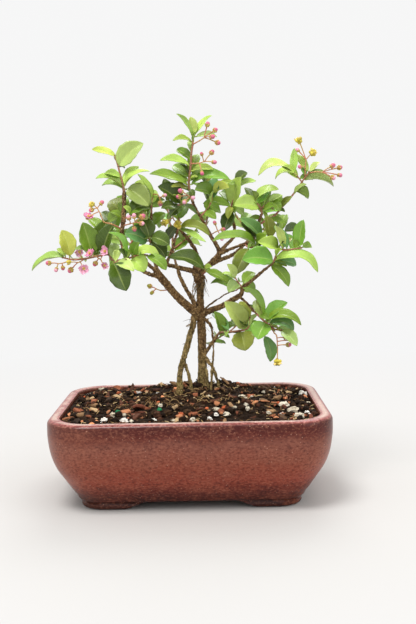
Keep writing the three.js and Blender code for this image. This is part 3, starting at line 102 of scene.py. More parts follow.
# The leafy shoots, with a blank line between them: name, twigs and leaves, parted by bars. A leaf has its
# tone, its base x, z, tip x, z, the depth of its tip behind its base, its width, the share of it that faces
# the front, and the height of its arch.
SHOOTS = """
leafy_left_tip| -43 -18.4 153.6 .85, -50 -18 153.5 .85, -52.5 -17 157.5 .8, -60 -16 156.5 .7,
-68 -14 155 .65, -76 -12 154.5 .6, -83 -10 156 .5| lime -82 156.5 -103.3 147.5 0 8 .5 3,
lime -81 157 -86.5 162 3 4 .8 0, yellow -78 157 -83 174 2 11 .95 .5, mid -64 157.5 -69 179 -3 13 .95 .5,
grey -65 156.5 -79 163 -10 8 .55 2, dark -56 158.5 -49 178 4 11 .9 1, dark -61 158 -52 180 14 10 .85 1,
pale -49 155 -49.5 168 -10 9 .9 1

leafy_left_front| -40 -20 152.9 .8, -40 -25 154 .75, -40.5 -31 154.5 .6, -41 -35 154 .45;
-40.4 -29 154.3 .6, -45 -31 153 .5, -49 -33 152 .45; -40 -25 154 .6, -36 -27 156 .55, -30 -29 157 .45,
-27 -30 156.5 .4| bright -41 156 -51 173.5 -6 8 .6 2.5, dark -49.5 151.5 -41.5 133 -5 14 .95 1,
pale -47.5 151 -36 146 -6 8 .65 1.5, lime -37 154.5 -29 145.5 -4 12 .95 1,
lime -35.5 157 -19 153 2 8 .7 4.5, mid -27 155.5 -14.5 146.5 -2 8 .7 1.5, mid -36 157.5 -33 165 -5 7 .9 .5

leafy_left_top| -41.2 -13.8 198.6 1.05, -42 -13 204 .75, -43.4 -12.5 210 .65, -44.5 -12 215 .6,
-46.5 -12 222 .5| pale -44 215.5 -28.5 230.5 -4 13 .95 1, yellow -46.2 221.5 -62 227.5 2 5 .8 1,
lime -42 202 -59.5 208 -5 8 .5 2, lime -42.3 201 -56 203.5 6 7 .5 1.5, lime -41.4 203 -31 214.5 5 7 .55 1,
lime -41 201.8 -24 212 -6 8 .5 3, grey -38.5 200.5 -25 189 -6 13 .95 1

leafy_left_stem| -40.1 -17.4 181.2 .65, -38 -19 182.5 .6, -35 -20 183.5 .5|
dark -38 183.2 -24 187 -3 10 .8 4, olive -35.5 183 -26 180.5 4 9 .7 .5, mid -37 183 -33 193 5 7 .85 .5

leafy_left_behind| -42.4 -14 181 .6, -43.5 -8 182.5 .55, -44.5 0 183.5 .5, -45 8 186 .4|
olive -44.2 184 -51 193.5 2 13 .9 1, mid -44 183.5 -34 190 6 9 .8 1, mid -44.5 183 -52 178 6 9 .8 1,
mid -45 186 -39 196 8 9 .8 1, dark -45 186 -52 186 12 9 .8 1

leafy_left_mid| -23.5 -2.9 184.6 .7, -23.3 -2 190 .6, -22.5 -1.5 197 .5| lime -24 189 -29 210 -3 8 .7 1,
lime -24.8 197 -34 204 4 8 .75 1.5, lime -22.3 191 -21 199.5 -4 6 .8 .5, mid -22.9 188 -14 193 6 9 .8 1

leafy_left_inner| -24 -8 164.5 .65, -25 -11 165.5 .6, -25.5 -15 167.5 .5|
blue -27 165.5 -41.5 171 -4 13 .9 1.5, dark -25.5 168.5 -30 182 -2 10 .9 1,
dark -24.5 165 -14.5 155 -6 9 .9 1, dark -24 168 -12 163 -3 10 .85 1.5

leafy_knot_front| 10.5 4.6 143.6 .65, 11 1 144.6 .55, 11 -3 146.5 .45|
dark 10.4 146.5 -13 155 -10 11 .75 3.5, mid 12 145 28 137 -6 6 .8 1

leafy_fork_left| -6.4 6.1 172.6 .65, -5 8 177 .5, -5.5 8 180.5 .4| olive -4.8 174 15 169.5 -10 7 .7 3.5,
lime -4.8 173.4 12 164.5 -14 4 .8 1, dark -7 175 -14 166 -6 7 .9 .5, dark -6 175.5 -9.5 164.5 -9 6 .85 .5,
mid -5.2 180 -1 189 8 8 .8 .5

leafy_crown| 2.9 5 194.6 .85, 1.5 5 201 .85, 2 4.5 208 .8, 3 4 215 .75, 3.5 4 222 .7, 4.5 4 228 .65,
5 4 233 .55| mid .5 202 -24 210 -8 9 .65 2, mid 1 204.5 -9 207.5 5 5 .8 .5, bright 3 202 28.5 206 -6 9 .6 4,
mid 3 205 12 211 5 6 .8 .5, olive .5 200 -10 201.5 -10 5 .7 .5, dark 2.6 199 6 189.5 -8 7 .85 .5,
lime 2 214.5 -17 220 -5 7 .6 1.5, lime 4 211 18 212 -4 5 .7 1.5, lime 4 230 -8.5 231.5 -4 5 .5 1.5,
grey 5.2 228 16 222 5 8 .9 1, pale 7 233.3 21.5 234 8 4 .8 1, pale 5 234 3.5 246 2 6 .85 .5,
lime 4.4 234 -4.5 248.5 -3 4 .8 1, lime 5.7 234 17 248.3 5 4 .8 1, mid 2.8 210 8 222 11 8 .8 1,
mid 1.5 207 -9 216 12 8 .8 1, mid 3.2 218 -6 225 9 6 .8 1

leafy_crown_low| 3.2 4.6 189.2 .6, 0 4 189.5 .55, -4 3 189.5 .5, -7.5 2 188.5 .4|
dark -4.5 190.5 -21.5 203 -4 14 .9 1.5, dark -8 188.3 -16 188 -8 7 .85 .5,
dark -4 188.3 -11 182 -4 8 .85 .5, mid -1 190 0 197 8 7 .8 .5

leafy_centre_right| 10.3 6.4 182.6 .65, 13 7 186 .6, 16 8 191 .55, 16.8 8 197 .45|
mid 15.8 196 5.5 199 -7 10 .85 1, yellow 17.5 197 28 200.5 -3 8 .8 1, blue 16.8 193 19.5 206 5 8 .85 .5,
mid 12 184 19 179.5 -5 6 .85 .5, mid 14.5 188.5 22 184 9 8 .8 .5

leafy_right_top| 30 22 179.6 .8, 29.5 21 184 .7, 29.3 20 188 .6, 31 19 194 .5, 31.8 18 200 .45,
33 18 203 .4| lime 30.2 189 36 206.5 -5 12 .9 1, dark 32.7 203 40 210 4 7 .85 .5,
lime 31.6 201.5 22.5 204.5 -3 4 .8 .5, lime 32.2 200.5 46 205 4 5 .75 .8,
yellow 29 187 26.5 180 -6 5 .85 .3, dark 29.2 184 24 171.5 -7 9 .9 .5, mid 28.4 187.5 10 191 -6 8 .7 1.5,
mid 30 186 38 182 10 9 .8 1, mid 30.2 190 22 198 12 9 .8 1

leafy_right_inner| 49.1 -4 182.6 .75, 48.5 -4.5 186 .7, 46 -5 189 .6, 44 -5 191 .5; 48.6 -4.5 185.5 .6,
52 -5 188.5 .5, 55 -5 191 .4| dark 43.7 191 38 199.5 4 5 .85 .3, lime 45 191 60.5 199 -5 8 .6 3,
bright 46.5 189.5 54 198.5 3 9 .8 .5, mid 55.3 190.8 61.5 184 -4 6 .8 .5, mid 50 184.5 58 188 -6 5 .8 .5,
lime 47 186.5 31 188.5 -7 11 .85 1.5, mid 45 190 36 193 7 6 .8 .5

leafy_right_stem| 43 -1.9 165 .55, 46 -5 165.8 .55, 50 -8 165.8 .5, 54 -10 165.5 .4|
blue 48 166.5 35 179.5 -5 8 .8 1.5, olive 53.7 166.3 52.5 181 -3 8 .85 .5, dark 45.5 167 36 177 2 9 .85 .5

leafy_right_tip| 47.9 -2.1 175.7 .7, 52 -1 178 .7, 58 0 181.5 .7, 62 0 186 .65, 66 -1 190 .65, 71 -2 196 .6,
76 -4 203 .55, 80.5 -5 209 .45; 75.7 -4 202.5 .5, 73 -5 206 .45, 70.5 -6 208.5 .4|
pale 70 208.5 45.5 209 -4 8 .5 6, lime 73 205 56.5 206 6 9 .55 4.5, grey 77.5 204 98 201.5 -4 10 .6 1.5,
lime 70.5 209 71 225 2 5 .55 .5, lime 79.8 209.5 71 221.5 5 5 .8 .5, pale 81 209.6 87.5 215 6 4 .8 .3,
mid 52.5 177.4 64.5 176.5 -5 5 .7 .8, mid 62.5 187 55 193 9 8 .8 .5, mid 71.5 197 80 192 8 8 .8 .8

leafy_right_low| 52.7 -12.2 147.1 .8, 56 -14 150 .8, 58 -15 154 .7, 60 -16 158.5 .65, 66 -17 158.3 .6,
75 -18 159.5 .5| bright 56 151.5 36 153 -6 13 .9 1, lime 57.5 151.5 88.5 144 -6 9 .65 7,
blue 57.3 150.8 73 149 6 9 .8 1, mid 55 148.5 66.5 134 -4 8 .85 1.5, lime 59.5 159 47 164 -12 9 .85 1,
bright 74 160.5 76 178 -2 10 .85 .5, blue 65.5 159.5 57.5 174.5 5 6 .85 .5,
pale 63 160 59 173.5 -3 6 .85 .5, mid 75.8 160 82 160 4 5 .8 .3, mid 71 160 70 165 -2 5 .85 .2

leafy_right_front| 38.3 0 161.6 .6, 40 -4 160.5 .55, 44 -7 160.5 .5, 46 -9 161 .4|
mid 45 162 18 169.5 -8 8 .7 2, olive 40 159.5 31 142.5 -6 11 .9 1, mid 46 161.5 52 170 -8 8 .8 .5

leafy_right_small| 34.4 -9.4 135 .5, 32.5 -11 138 .45, 31 -12 140.5 .4| pale 31 141 27 149.5 -2 6 .85 .3,
grey 33 136.5 26 131.5 -4 8 .85 .5

leafy_thin_twig| 31.9 13.7 132.4 .45, 34 12 134 .45, 36 10 136 .4| mid 32.5 134 14 139 5 8 .8 1,
mid 36.3 136.5 44 130 6 8 .8 1, mid 36.3 136.5 44 144 8 8 .8 1

leafy_right_bottom| 45.5 -10.1 115.4 .65, 50 -10.5 111 .65, 54 -11 108 .6, 57 -11.5 105.5 .5,
61.5 -12 105 .45; 53 -10.9 108.6 .5, 51.5 -8 105 .45, 50 -7 102 .4| mid 48.5 114 36 134 -5 9 .6 3,
bright 51 112 65.5 124 4 9 .8 1, mid 51.5 111.2 74.5 108 -5 8 .7 5, blue 53.5 109 70 105 -11 9 .7 4,
mid 58 105.8 70 103 5 5 .8 .5, pale 61.8 104.5 71.5 94 -3 8 .85 1, bright 50.5 109.8 45.5 99 -6 13 .9 .8,
blue 50 101 54.5 83 -2 8 .85 1.5, pale 49.5 112.5 44 126 5 7 .85 .5

leafy_low| 18.5 3.8 102.1 .85, 20 3 104 .85, 26 1 104.3 .8, 33 -1 105 .7, 38 -2 106 .6, 40 -2.5 109 .5,
40.5 -3 114 .4| mid 20.5 105.5 18 118 -5 8 .85 .5, blue 26 105.5 15 120 4 6 .85 1,
olive 34 104 37 91.5 -5 15 .95 .8, pale 35.5 106.5 25 124 -6 13 .9 1, dark 38.5 107.5 33 121 4 9 .85 .5,
yellow 40.4 114.5 33 125 -2 6 .85 .5
"""

# Shoots at the back and sides: name, twigs and the seed of their pairs of leaves.
BACK_SHOOTS = """
leafy_back_left| -32.4 32.7 158.7 .75, -38 38 164 .7, -44 44 168 .6, -48 48 173 .45; -38 38 164 .55,
-33 43 172 .5, -29 48 179 .4| 11

leafy_back_middle| -8.2 43.3 150.7 .85, -10 46 160 .8, -10 48 170 .7, -12 49 180 .6, -13 49 190 .45;
-10 46 160 .6, -2 48 166 .5, 5 50 172 .4| 12

leafy_back_right| 37.3 43.4 162.6 .75, 42 46 168 .7, 47 48 176 .6, 50 49 184 .45; 42 46 168 .5,
36 49 175 .45, 32 50 182 .4| 13

leafy_back_crown| 12.2 8.9 175.6 .75, 13 16 180 .7, 14 24 186 .65, 14 30 193 .5, 13 34 201 .4| 14

leafy_back_mid_left| -23.6 -3.1 173 .55, -24 6 175 .55, -26 15 179 .5, -28 23 184 .4| 16

leafy_side_left| -43.8 -14.3 168 .6, -46 -6 168 .55, -50 3 168 .5, -55 12 167 .4| 17

leafy_side_right| 46 -.3 171.6 .6, 50 8 172 .55, 57 16 171 .5, 63 22 170 .4| 18

leafy_low_back| 15.3 7.9 98 .55, 20 14 101 .55, 27 20 105 .5, 33 25 110 .4| 19
"""

# Flower clusters: name, stalks, and each bud or bloom's kind, x, z, depth and radius.
CLUSTERS = """
flowers_crown_top| 6 2.6 228.6 .45, 9 0 230.5 .4, 12 -2 232.4 .4| bud 14.5 241 -1 1.7,
bud 19.5 237.2 -2 1.6, bud 17.5 233 -4 1.8, bud 21 229 -3 1.7

flowers_crown_mid| 4.4 2.6 215.8 .45, 8 0 216 .4, 12 -1 217 .35| bud 17 223 0 1.7, bud 18.5 216.5 -2 1.6,
bud 10.3 222 -2 1.2, bud 10.3 209.5 -6 1.5

flowers_crown_low| 3.6 2.9 191.4 .45, 3.2 -1 192.5 .4, 1 -4 195 .35| bud -4 198.2 -3 1.8,
bud -1.5 191 -4 1.6, bud 4 193.5 -5 1.7, bud -5.5 194.5 -1 1.6

flowers_right_tip| 82 -6 208.6 .45, 85 -7 209 .4, 89 -7 208.6 .35| bud 96 212.8 0 1.8,
bud 100.6 211.5 2 1.7, bud 96 205 -1 1.8, bud 100.6 206.5 1 1.6

flowers_right_upper| 77.2 -5.6 207.4 .4, 78 -8 212 .4, 78.5 -9 217 .35| spent 74 229.5 0 2.3,
bud 73 223.5 0 1.4, spent 83 221.5 -1 2.4, bud 74.5 212.5 -2 1.4

flowers_right_bottom| 54.6 -11.6 105.7 .35, 56.5 -13 103 .4, 58 -14 101 .4, 58.5 -14 92 .35,
58.3 -14 86 .35| bud 64.5 100 0 1.8, bud 66 95 -1 1.7, bud 69.5 98 -2 1.8, spent 58.5 83.5 0 2.5

flowers_left_tip| -70 -14.8 153.5 .4, -71.5 -18 153 .4, -73 -21 152.5 .35| open -72 160 -1 3.4,
open -69.5 148.5 -3 3.6, bud -78 147.5 0 1.9, spent -79 152.8 -3 1.6

flowers_left_mid| -57.3 -17.6 155.1 .4, -58 -21 154.5 .35, -59 -24 155 .35| open -64.5 158 -2 3.4,
open -54.5 159.5 -3 3.1, open -56 150 -2 2.6, bud -61.5 151.5 0 1.7

flowers_left_end| -79 -12.2 153.4 .4, -82 -15 152.6 .35, -86 -16 152 .35| bud -92.5 152.5 -1 1.7,
bud -87.5 148 -1 1.5, bud -83 149 0 1.4

flowers_left_upper| -45.4 -17 175 .5, -50 -21 177.5 .45, -55 -24 179 .4, -57 -25 184 .4, -59 -25 188 .35|
open -65.5 182 -2 3.4, spent -62.5 190.5 0 1.9, bud -63 186.8 0 1.5, bud -56 191.5 1 1.6

flowers_left_inner| -41.1 -17.7 176.4 .45, -38 -22 177.3 .4, -34.5 -26 178.2 .35| bud -38.5 181.5 -1 1.6,
bud -35 182.5 -1 1.6, bud -35 173.8 0 1.5, bud -29.5 182 0 1.9, bud -30 177.5 -1 1.6

flowers_left_crown| -21.2 -2.8 196.3 .35, -19 -5 196 .35, -17.8 -6.5 193.5 .35| bud -17.5 190.2 0 1.7,
bud -14.5 195.5 0 1.4

flowers_centre| -8.7 13.4 179.3 .45, -9.5 8 180.8 .4, -10 4 180.5 .35| spent -14.5 178 -3 2.4,
spent -6.5 176.5 -6 2.6, bud -10 184 -4 1.5

flowers_right_fork| 16.9 7 170 .4, 18.5 4 171 .35, 20 2 171.5 .35| bud 23.5 172.5 0 1.5, bud 18 177 0 1.4,
bud 22.5 166.5 -1 1.4

flowers_low_left| -15.6 -3 132.8 .4, -18.5 -7 133 .35, -21.5 -10 134 .35| bud -26 136 0 1.6,
bud -24.5 131.5 0 1.4
"""


def table(text):
    """Reads stems from text: lists of rows of numbers."""
    return [[[float(n) for n in row.split()] for row in part.split(",")] for part in text.split(";")]


def entries(text):
    """Reads the named entries of a text: name, stems, and the rows of words and numbers that follow."""
    return [(name.strip(), table(stems), [row.split() for row in rows.split(",")])
            for name, stems, rows in (entry.split("|") for entry in text.strip().split("\n\n"))]


def vec(x, y, z):
    return np.array([x, y, z], float)


def unit(v):
    return v / np.linalg.norm(v)


def seen(x, y, z, *rest):
    """The real point at depth y that is seen at x, z on the plane y = 0."""
    return (vec(x, 0, z) - EYE) * nearness(y) + EYE


def nearness(y):
    return (y - EYE[1]) / -EYE[1]


def spin(a, b, angle):
    """A direction between two at right angles."""
    return a * cos(angle) + b * sin(angle)


def draw(seed):
    """A repeatable draw between 0 and 1."""
    value = sin(seed * 12.9898 + 4.1414) * 43758.5453
    return value - floor(value)


def between(seed, low, high):
    return low + (high - low) * draw(seed)


# Leaves and blooms are put where there is room for them, by the same rules as in the part.
SPACING = 1.3
REACH = 0.9
SPARE = 0.3
NEAR = 6.0
SEAT_GAP = 0.32
OWN_SPACING = 1.7
INNER_SHARE = 0.35
FOLD = 0.16
OUTLINE = [[0, 0.14], [0.2, 0.74], [0.47, 1], [0.78, 0.78], [1, 0]]
EXTRA_LENGTH = [14, 20]
SWINGS = [0, -4, 4, -8, 8, -12, 12, -16, 16]
SHRINKS = [[True, 1], [False, 1], [True, 0.85], [False, 0.85], [False, 0.7], [False, 0.55]]
RULE_TRIES = [[True, 1], [True, 0.82], [False, 1], [False, 0.82], [False, 0.66]]
RULE_TURNS = [0, 0.5, -0.5, 0.9, -0.9]
RULE_DEPTH = POT_DEPTH / 2 - 1.5
RULE_WIDTH = 96
BLOOM_STALK = 0.45


class Room:
    """Points already taken, each with its radius, its node and whether it is a blade's outer part."""

    def __init__(self):
        self.points, self.facts = np.zeros((60000, 3)), np.zeros((60000, 3))
        self.count = 0
        self.names = {}

    def take(self, points, radii, node, outer=0):
        start, self.count = self.count, self.count + len(points)
        self.points[start:self.count] = points
        for column, fact in enumerate((radii, self.names.setdefault(node, len(self.names)), outer)):
            self.facts[start:self.count, column] = fact

    def crowded(self, points, radius, node, strict=False):
        points = np.asarray(points)
        held = self.points[:self.count]
        inside = np.all((held > points.min(0) - NEAR) & (held < points.max(0) + NEAR), axis=1)
        if not inside.any():
            return False
        others, facts = held[inside], self.facts[:self.count][inside]
        own = facts[:, 1] == self.names.setdefault(node, len(self.names))
        gaps = np.linalg.norm(points[:, None, :] - others[None, :, :], axis=2)
        if (gaps[:, ~own] < (radius + facts[:, 0] + SPARE)[None, ~own]).any():
            return True
        outer = own & (facts[:, 2] > 0)
        return strict and bool((gaps[np.ix_(outer_part(points), outer)] < OWN_SPACING).any())

    def try_blade(self, blade, node, strict):
        """Takes a blade's place if it is free."""
        samples = blade.samples()
        free = not self.crowded(samples, REACH, node, strict)
        if free:
            self.take_blade(samples, node)
        return free

    def take_blade(self, samples, node):
        self.take(samples, REACH, node, outer_part(samples))

    def take_line(self, line, node):
        for a, b in zip(line, line[1:]):
            start, end = seen(*a), seen(*b)
            steps = ceil(np.linalg.norm(end - start) / SPACING)
            share = np.linspace(0, 1, steps + 1)[:, None]
            self.take(start + (end - start) * share, a[3] + (b[3] - a[3]) * share[:, 0], node)


def outer_part(samples):
    return np.arange(len(samples)) > len(samples) * INNER_SHARE


def nearest_on(twigs, x, z):
    """The nearest place on a shoot's own twigs to a leaf's base, in the seen plane."""
    found = []
    for line in twigs:
        for a, b in zip(line, line[1:]):
            a, b = np.array(a), np.array(b)
            run = (b[0] - a[0]) ** 2 + (b[2] - a[2]) ** 2
            share = 0 if run == 0 else ((x - a[0]) * (b[0] - a[0]) + (z - a[2]) * (b[2] - a[2])) / run
            spot = a + (b - a) * min(max(share, 0), 1)
            found.append((hypot(spot[0] - x, spot[2] - z), spot))
    return min(found, key=lambda entry: entry[0])[1]


def seat(line, parents):
    """Moves the foot of a shoot or stalk to a small gap from the side of the stem that it grows from."""
    foot = seen(*line[0])
    found = []
    for parent in parents:
        for i, (a, b) in enumerate(zip(parent, parent[1:])):
            start = seen(*a)
            run = seen(*b) - start
            share = min(max((foot - start).dot(run) / run.dot(run), 0), 1)
            nearest = start + run * share
            radius = a[3] + (b[3] - a[3]) * share
            at_end = share == 1 and i == len(parent) - 2
            found.append((np.linalg.norm(nearest - foot) - radius, nearest, radius, at_end))
    _, nearest, radius, at_end = min(found, key=lambda entry: entry[0])
    if at_end:
        return
    out = unit(foot - nearest)
    onward = unit(seen(*line[1]) - foot)
    lean = line[0][3] * sqrt(max(0, 1 - onward.dot(out) ** 2))
    point = nearest + out * (radius * 0.95 + SEAT_GAP + lean)
    on_plane = (point - EYE) / nearness(point[1]) + EYE
    line[0] = [on_plane[0], point[1], on_plane[2], line[0][3]]


class Blade:
    """A leaf's middle line is a curve from base to tip, raised in its middle by its arch."""

    def __init__(self, root, base, tip, width, face, arch):
        along = unit(tip - base)
        self.length = np.linalg.norm(tip - base)
        to_viewer = unit(EYE - base)
        to_viewer = unit(to_viewer - along * to_viewer.dot(along))
        upward = vec(0, 0, 1) + to_viewer * 0.05
        upward = unit(upward - along * upward.dot(along))
        normal = to_viewer * face + upward * sqrt(1 - face * face)
        self.normal = unit(normal - along * normal.dot(along))
        lift = self.normal * 0.5 + upward * 0.5
        self.middle = (base + tip) / 2 + lift * (2 * arch + 0.05 * self.length)
        self.root, self.base, self.tip, self.width = root, base, tip, width

    def at(self, t):
        centre = self.base * (1 - t) ** 2 + self.middle * 2 * t * (1 - t) + self.tip * t * t
        along = unit((self.middle - self.base) * (1 - t) + (self.tip - self.middle) * t)
        side = unit(np.cross(along, self.normal))
        return centre, side, np.cross(side, along)

    def samples(self):
        found = []
        steps = ceil(self.length / SPACING)
        shares = np.interp(np.arange(steps + 1) / steps, *zip(*OUTLINE))
        for s in range(steps + 1):
            centre, side, normal = self.at(s / steps)
            half = self.width * shares[s] / 2
            across = max(1, ceil(half / SPACING))
            for k in range(-across, across + 1):
                reach = max(half - 0.3, 0) * (k / across)
                found.append(centre + side * reach + normal * abs(reach) * FOLD)
        return np.array(found)


def place_leaf(name, twigs, leaf):
    bx, bz, tx, tz, dy, width, face, arch = leaf
    spot = nearest_on(twigs, bx, bz)
    for strict, shrink in SHRINKS:
        for swing in SWINGS:
            tip = seen(bx + (tx - bx) * shrink, spot[1] + (dy + swing) * shrink, bz + (tz - bz) * shrink)
            blade = Blade(seen(*spot), seen(bx, spot[1], bz), tip, width * shrink, face, arch)
            if room.try_blade(blade, name, strict):
                return blade
    return None


def rule_leaves(twigs, seed):
    """A rule's leaves: pairs along each twig, and one at its end."""
    leaves = []
    n = seed * 40
    for line in twigs:
        points = [seen(*p) for p in line]
        for i, (start, end) in enumerate(zip(points, points[1:])):
            along = unit(end - start)
            if i % 2 == 0:
                root = start + (end - start) * 0.8
                turn = between(n, 0, 0.8) + (i % 4) * (pi / 4)
                across = unit(np.cross(along, vec(0, 0, 1)))
                over = np.cross(across, along)
                for half in (0, pi):
                    n += 1
                    out = spin(across, over, turn + half) + along * 0.55
                    out = unit(unit(out) + vec(0, 0, 0.12))
                    leaves.append((root, out, between(n + 0.3, *EXTRA_LENGTH)))
            if i == len(points) - 2:
                leaves.append((end, unit(along + vec(0, 0, 0.3)), between(n + 0.6, *EXTRA_LENGTH)))
    return leaves


def turned(v, angle):
    c, s = cos(angle), sin(angle)
    return vec(v[0] * c - v[1] * s, v[0] * s + v[1] * c, v[2])


def place_rule_leaf(name, root, out, length, seed):
    for strict, shrink in RULE_TRIES:
        for turn in RULE_TURNS:
            way = turned(out, turn)
            tip = root + way * (1.8 + length * shrink) - vec(0, 0, 1.5)
            blade = Blade(root, root + way * 1.8, tip, length * shrink * 0.5, between(seed, 0.45, 0.85), 0.8)
            wide, deep = np.abs(blade.samples()).max(0)[:2]
            if deep < RULE_DEPTH and wide < RULE_WIDTH and room.try_blade(blade, name, strict):
                return blade
    return None


def place_blooms(name, stalks, blooms):
    placed = []
    for n, (kind, *numbers) in enumerate(blooms):
        x, z, dy, radius = map(float, numbers)
        spot = nearest_on(stalks, x, z)
        root = seen(*spot)
        for swing in SWINGS:
            centre = seen(x, spot[1] + dy + swing, z)
            steps = ceil(np.linalg.norm(centre - root) / SPACING)
            samples = [root + (centre - root) * s / steps for s in range(1, steps + 1)]
            free = len(samples) < 2 or not room.crowded(samples[1:], 0.5, name)
            if free and not room.crowded([centre], radius, name):
                room.take(samples, BLOOM_STALK, name)
                room.take([centre], radius, name)
                placed.append((kind, root, centre, radius, n + 7))
                break
    return placed


room = Room()
roots = table(ROOTS)
wood_lines = table(WOOD) + roots
shoots, back_shoots, clusters = entries(SHOOTS), entries(BACK_SHOOTS), entries(CLUSTERS)
twig_lines = []
for line in wood_lines:
    room.take_line(line, "tree_wood")
for name, twigs, rest in shoots + back_shoots:
    seat(twigs[0], wood_lines)
    twig_lines.extend(twigs)
    for line in twigs:
        room.take_line(line, name)
for name, stalks, blooms in clusters:
    seat(stalks[0], wood_lines + twig_lines)
    for line in stalks:
        room.take_line(line, name)
blooms_on = {name: place_blooms(name, stalks, blooms) for name, stalks, blooms in clusters}
leaves_on = {name: [place_leaf(name, twigs, [float(n) for n in leaf[1:]]) for leaf in leaves]
             for name, twigs, leaves in shoots}
for name, twigs, [[seed]] in back_shoots:
    leaves_on[name] = [place_rule_leaf(name, *leaf, int(seed) * 50 + n)
                       for n, leaf in enumerate(rule_leaves(twigs, int(seed)))]


class Mesh:
    """Gathers points, faces, a material number for each face, and a tint and coordinates for each corner."""

    def __init__(self):
        self.points, self.faces, self.kinds, self.tints, self.coords = [], [], [], [], []

    def add(self, points, faces, kind, tints, coords=None):
        """Adds faces, whose corners take their points' coordinates and one tint or their points' tints."""
        first = len(self.points)
        self.points.extend(points)
        for face in faces:
            self.faces.append([first + i for i in face])
            self.kinds.append(kind)
            self.tints.extend(tints if isinstance(tints, tuple) else tints[i] for i in face)
            self.coords.extend(coords[i] if coords else (0, 0) for i in face)

    def build(self, name, materials, node, slot, smooth=True):
        mesh = new_mesh(name, self.points, self.faces, materials)
        mesh.polygons.foreach_set("material_index", self.kinds)
        mesh.polygons.foreach_set("use_smooth", [smooth] * len(self.faces))
        layer = mesh.uv_layers.new(name="along")
        layer.data.foreach_set("uv", np.array(self.coords, float).ravel())
        tint = mesh.color_attributes.new("tint", "FLOAT_COLOR", "CORNER")
        tint.data.foreach_set("color", np.array(self.tints, float).ravel())
        mesh.update()
        piece = show(name, mesh)
        claim(piece, node)
        return piece


def new_mesh(name, points, faces, materials=()):
    mesh = bpy.data.meshes.new(name)
    mesh.from_pydata((np.array(points, float) * MM).tolist(), [], faces)
    for material in materials:
        mesh.materials.append(material)
    return mesh


def show(name, data):
    thing = bpy.data.objects.new(name, data)
    bpy.context.scene.collection.objects.link(thing)
    return thing


def claim(piece, node):
    """Puts a piece on the one body, in place of a CAD node."""
    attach(piece, "root")
    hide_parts(node)


def linear(r, g, b):
    """A picture colour, 0 to 255, as the linear colour that shaders take."""
    return tuple(((c / 255 + 0.055) / 1.055) ** 2.4 if c > 10 else c / 3295 for c in (r, g, b)) + (1.0,)


def palette(*tones):
    return [linear(*tone) for tone in tones]


def mix(a, b, share):
    return tuple(x + (y - x) * share for x, y in zip(a, b))


def dimmed(tone, shade):
    return (*(c * shade for c in tone[:3]), 1.0)


def smooth_line(points, radii, step):
    """Points and radii along a curve through the given points, about step apart."""
    points = [np.asarray(p, float) for p in points]
    ends = [points[0] * 2 - points[1], *points, points[-1] * 2 - points[-2]]
    made, widths = [], []
    for i in range(1, len(ends) - 2):
        p0, p1, p2, p3 = ends[i - 1: i + 3]
        count = max(1, round(np.linalg.norm(p2 - p1) / step))
        for k in range(count):
            t = k / count
            a, b = 2 * p1, p2 - p0
            c, d = 2 * p0 - 5 * p1 + 4 * p2 - p3, 3 * p1 - p0 - 3 * p2 + p3
            made.append((a + b * t + c * t * t + d * t ** 3) / 2)
            widths.append(radii[i - 1] + (radii[i] - radii[i - 1]) * t)
    return made + [points[-1]], widths + [radii[-1]]


def circle(sides):
    return [2 * pi * k / sides for k in range(sides)]


def band(rows, sides, first=0):
    """Faces between rings of points, each ring's last point joined to its first."""
    return [[a + k, a + n, a + sides + n, a + sides + k]
            for a in range(first, first + rows * sides, sides)
            for k in range(sides) for n in [(k + 1) % sides]]


def tube(mesh, points, radii, sides, kind, tint, tint_end=None, step=1.2, rough=0.0, seed=0):
    """A round closed stem through the points, with a rounded end."""
    line, widths = smooth_line(points, radii, step)
    last = len(line) - 1
    side, run = None, 0.0
    rows, colours, coords = [], [], []
    for i, (point, width) in enumerate(zip(line, widths)):
        along = unit(line[min(i + 1, last)] - line[max(i - 1, 0)])
        if side is None:
            side = vec(1, 0, 0) if abs(along[2]) > 0.8 else vec(0, 0, 1)
        side = unit(side - along * side.dot(along))
        across = np.cross(along, side)
        colours += [mix(tint, tint_end or tint, i / last)] * sides
        for angle in circle(sides):
            bump = 1 + rough * sin(3 * angle + run * 0.9 + seed) * sin(run * 0.7 + seed * 2)
            rows.append(point + spin(side, across, angle) * width * bump)
            coords.append((angle / (2 * pi), run / 10))
        if i < last:
            run += np.linalg.norm(line[i + 1] - point)
    foot, tip, top = len(rows), len(rows) + 1, last * sides
    rows += [line[0], line[-1] + unit(line[-1] - line[-2]) * widths[-1] * 0.4]
    faces = band(last, sides)
    for k in range(sides):
        n = (k + 1) % sides
        faces += [[foot, n, k], [tip, top + k, top + n]]
    mesh.add(rows, faces, kind, colours + [colours[0], colours[-1]], coords + [(0.5, 0), (0.5, run / 10)])


def stem(mesh, line, *look, drawn_back=0.0, **more):
    """A tube along a line of seen points, its foot drawn back into the wood or twig that carries it."""
    points = [seen(*p) for p in line]
    points[0] = points[0] - unit(points[1] - points[0]) * drawn_back
    tube(mesh, points, [p[3] for p in line], *look, **more)
    return points


LEAF, TWIG, BUD, PETAL, GLAND, SPENT = range(6)
LEAF_TONES = {name: linear(*tone) for name, tone in {
    "lime": (168, 196, 88), "bright": (124, 174, 62), "mid": (118, 150, 46), "dark": (72, 94, 24),
    "blue": (104, 150, 80), "pale": (180, 202, 110), "grey": (142, 164, 88), "olive": (130, 140, 52),
    "yellow": (188, 198, 86)}.items()}
UNDERSIDE = linear(166, 184, 104)
LENGTHS = 18
WIDTHS = 5
SKIN = 0.3


def leaf_half(t):
    """The share of a blade's half width at t along it: wedge-shaped at the foot, drawn out to a point."""
    return t ** 0.75 * (1 - t) ** 0.85 / 0.331


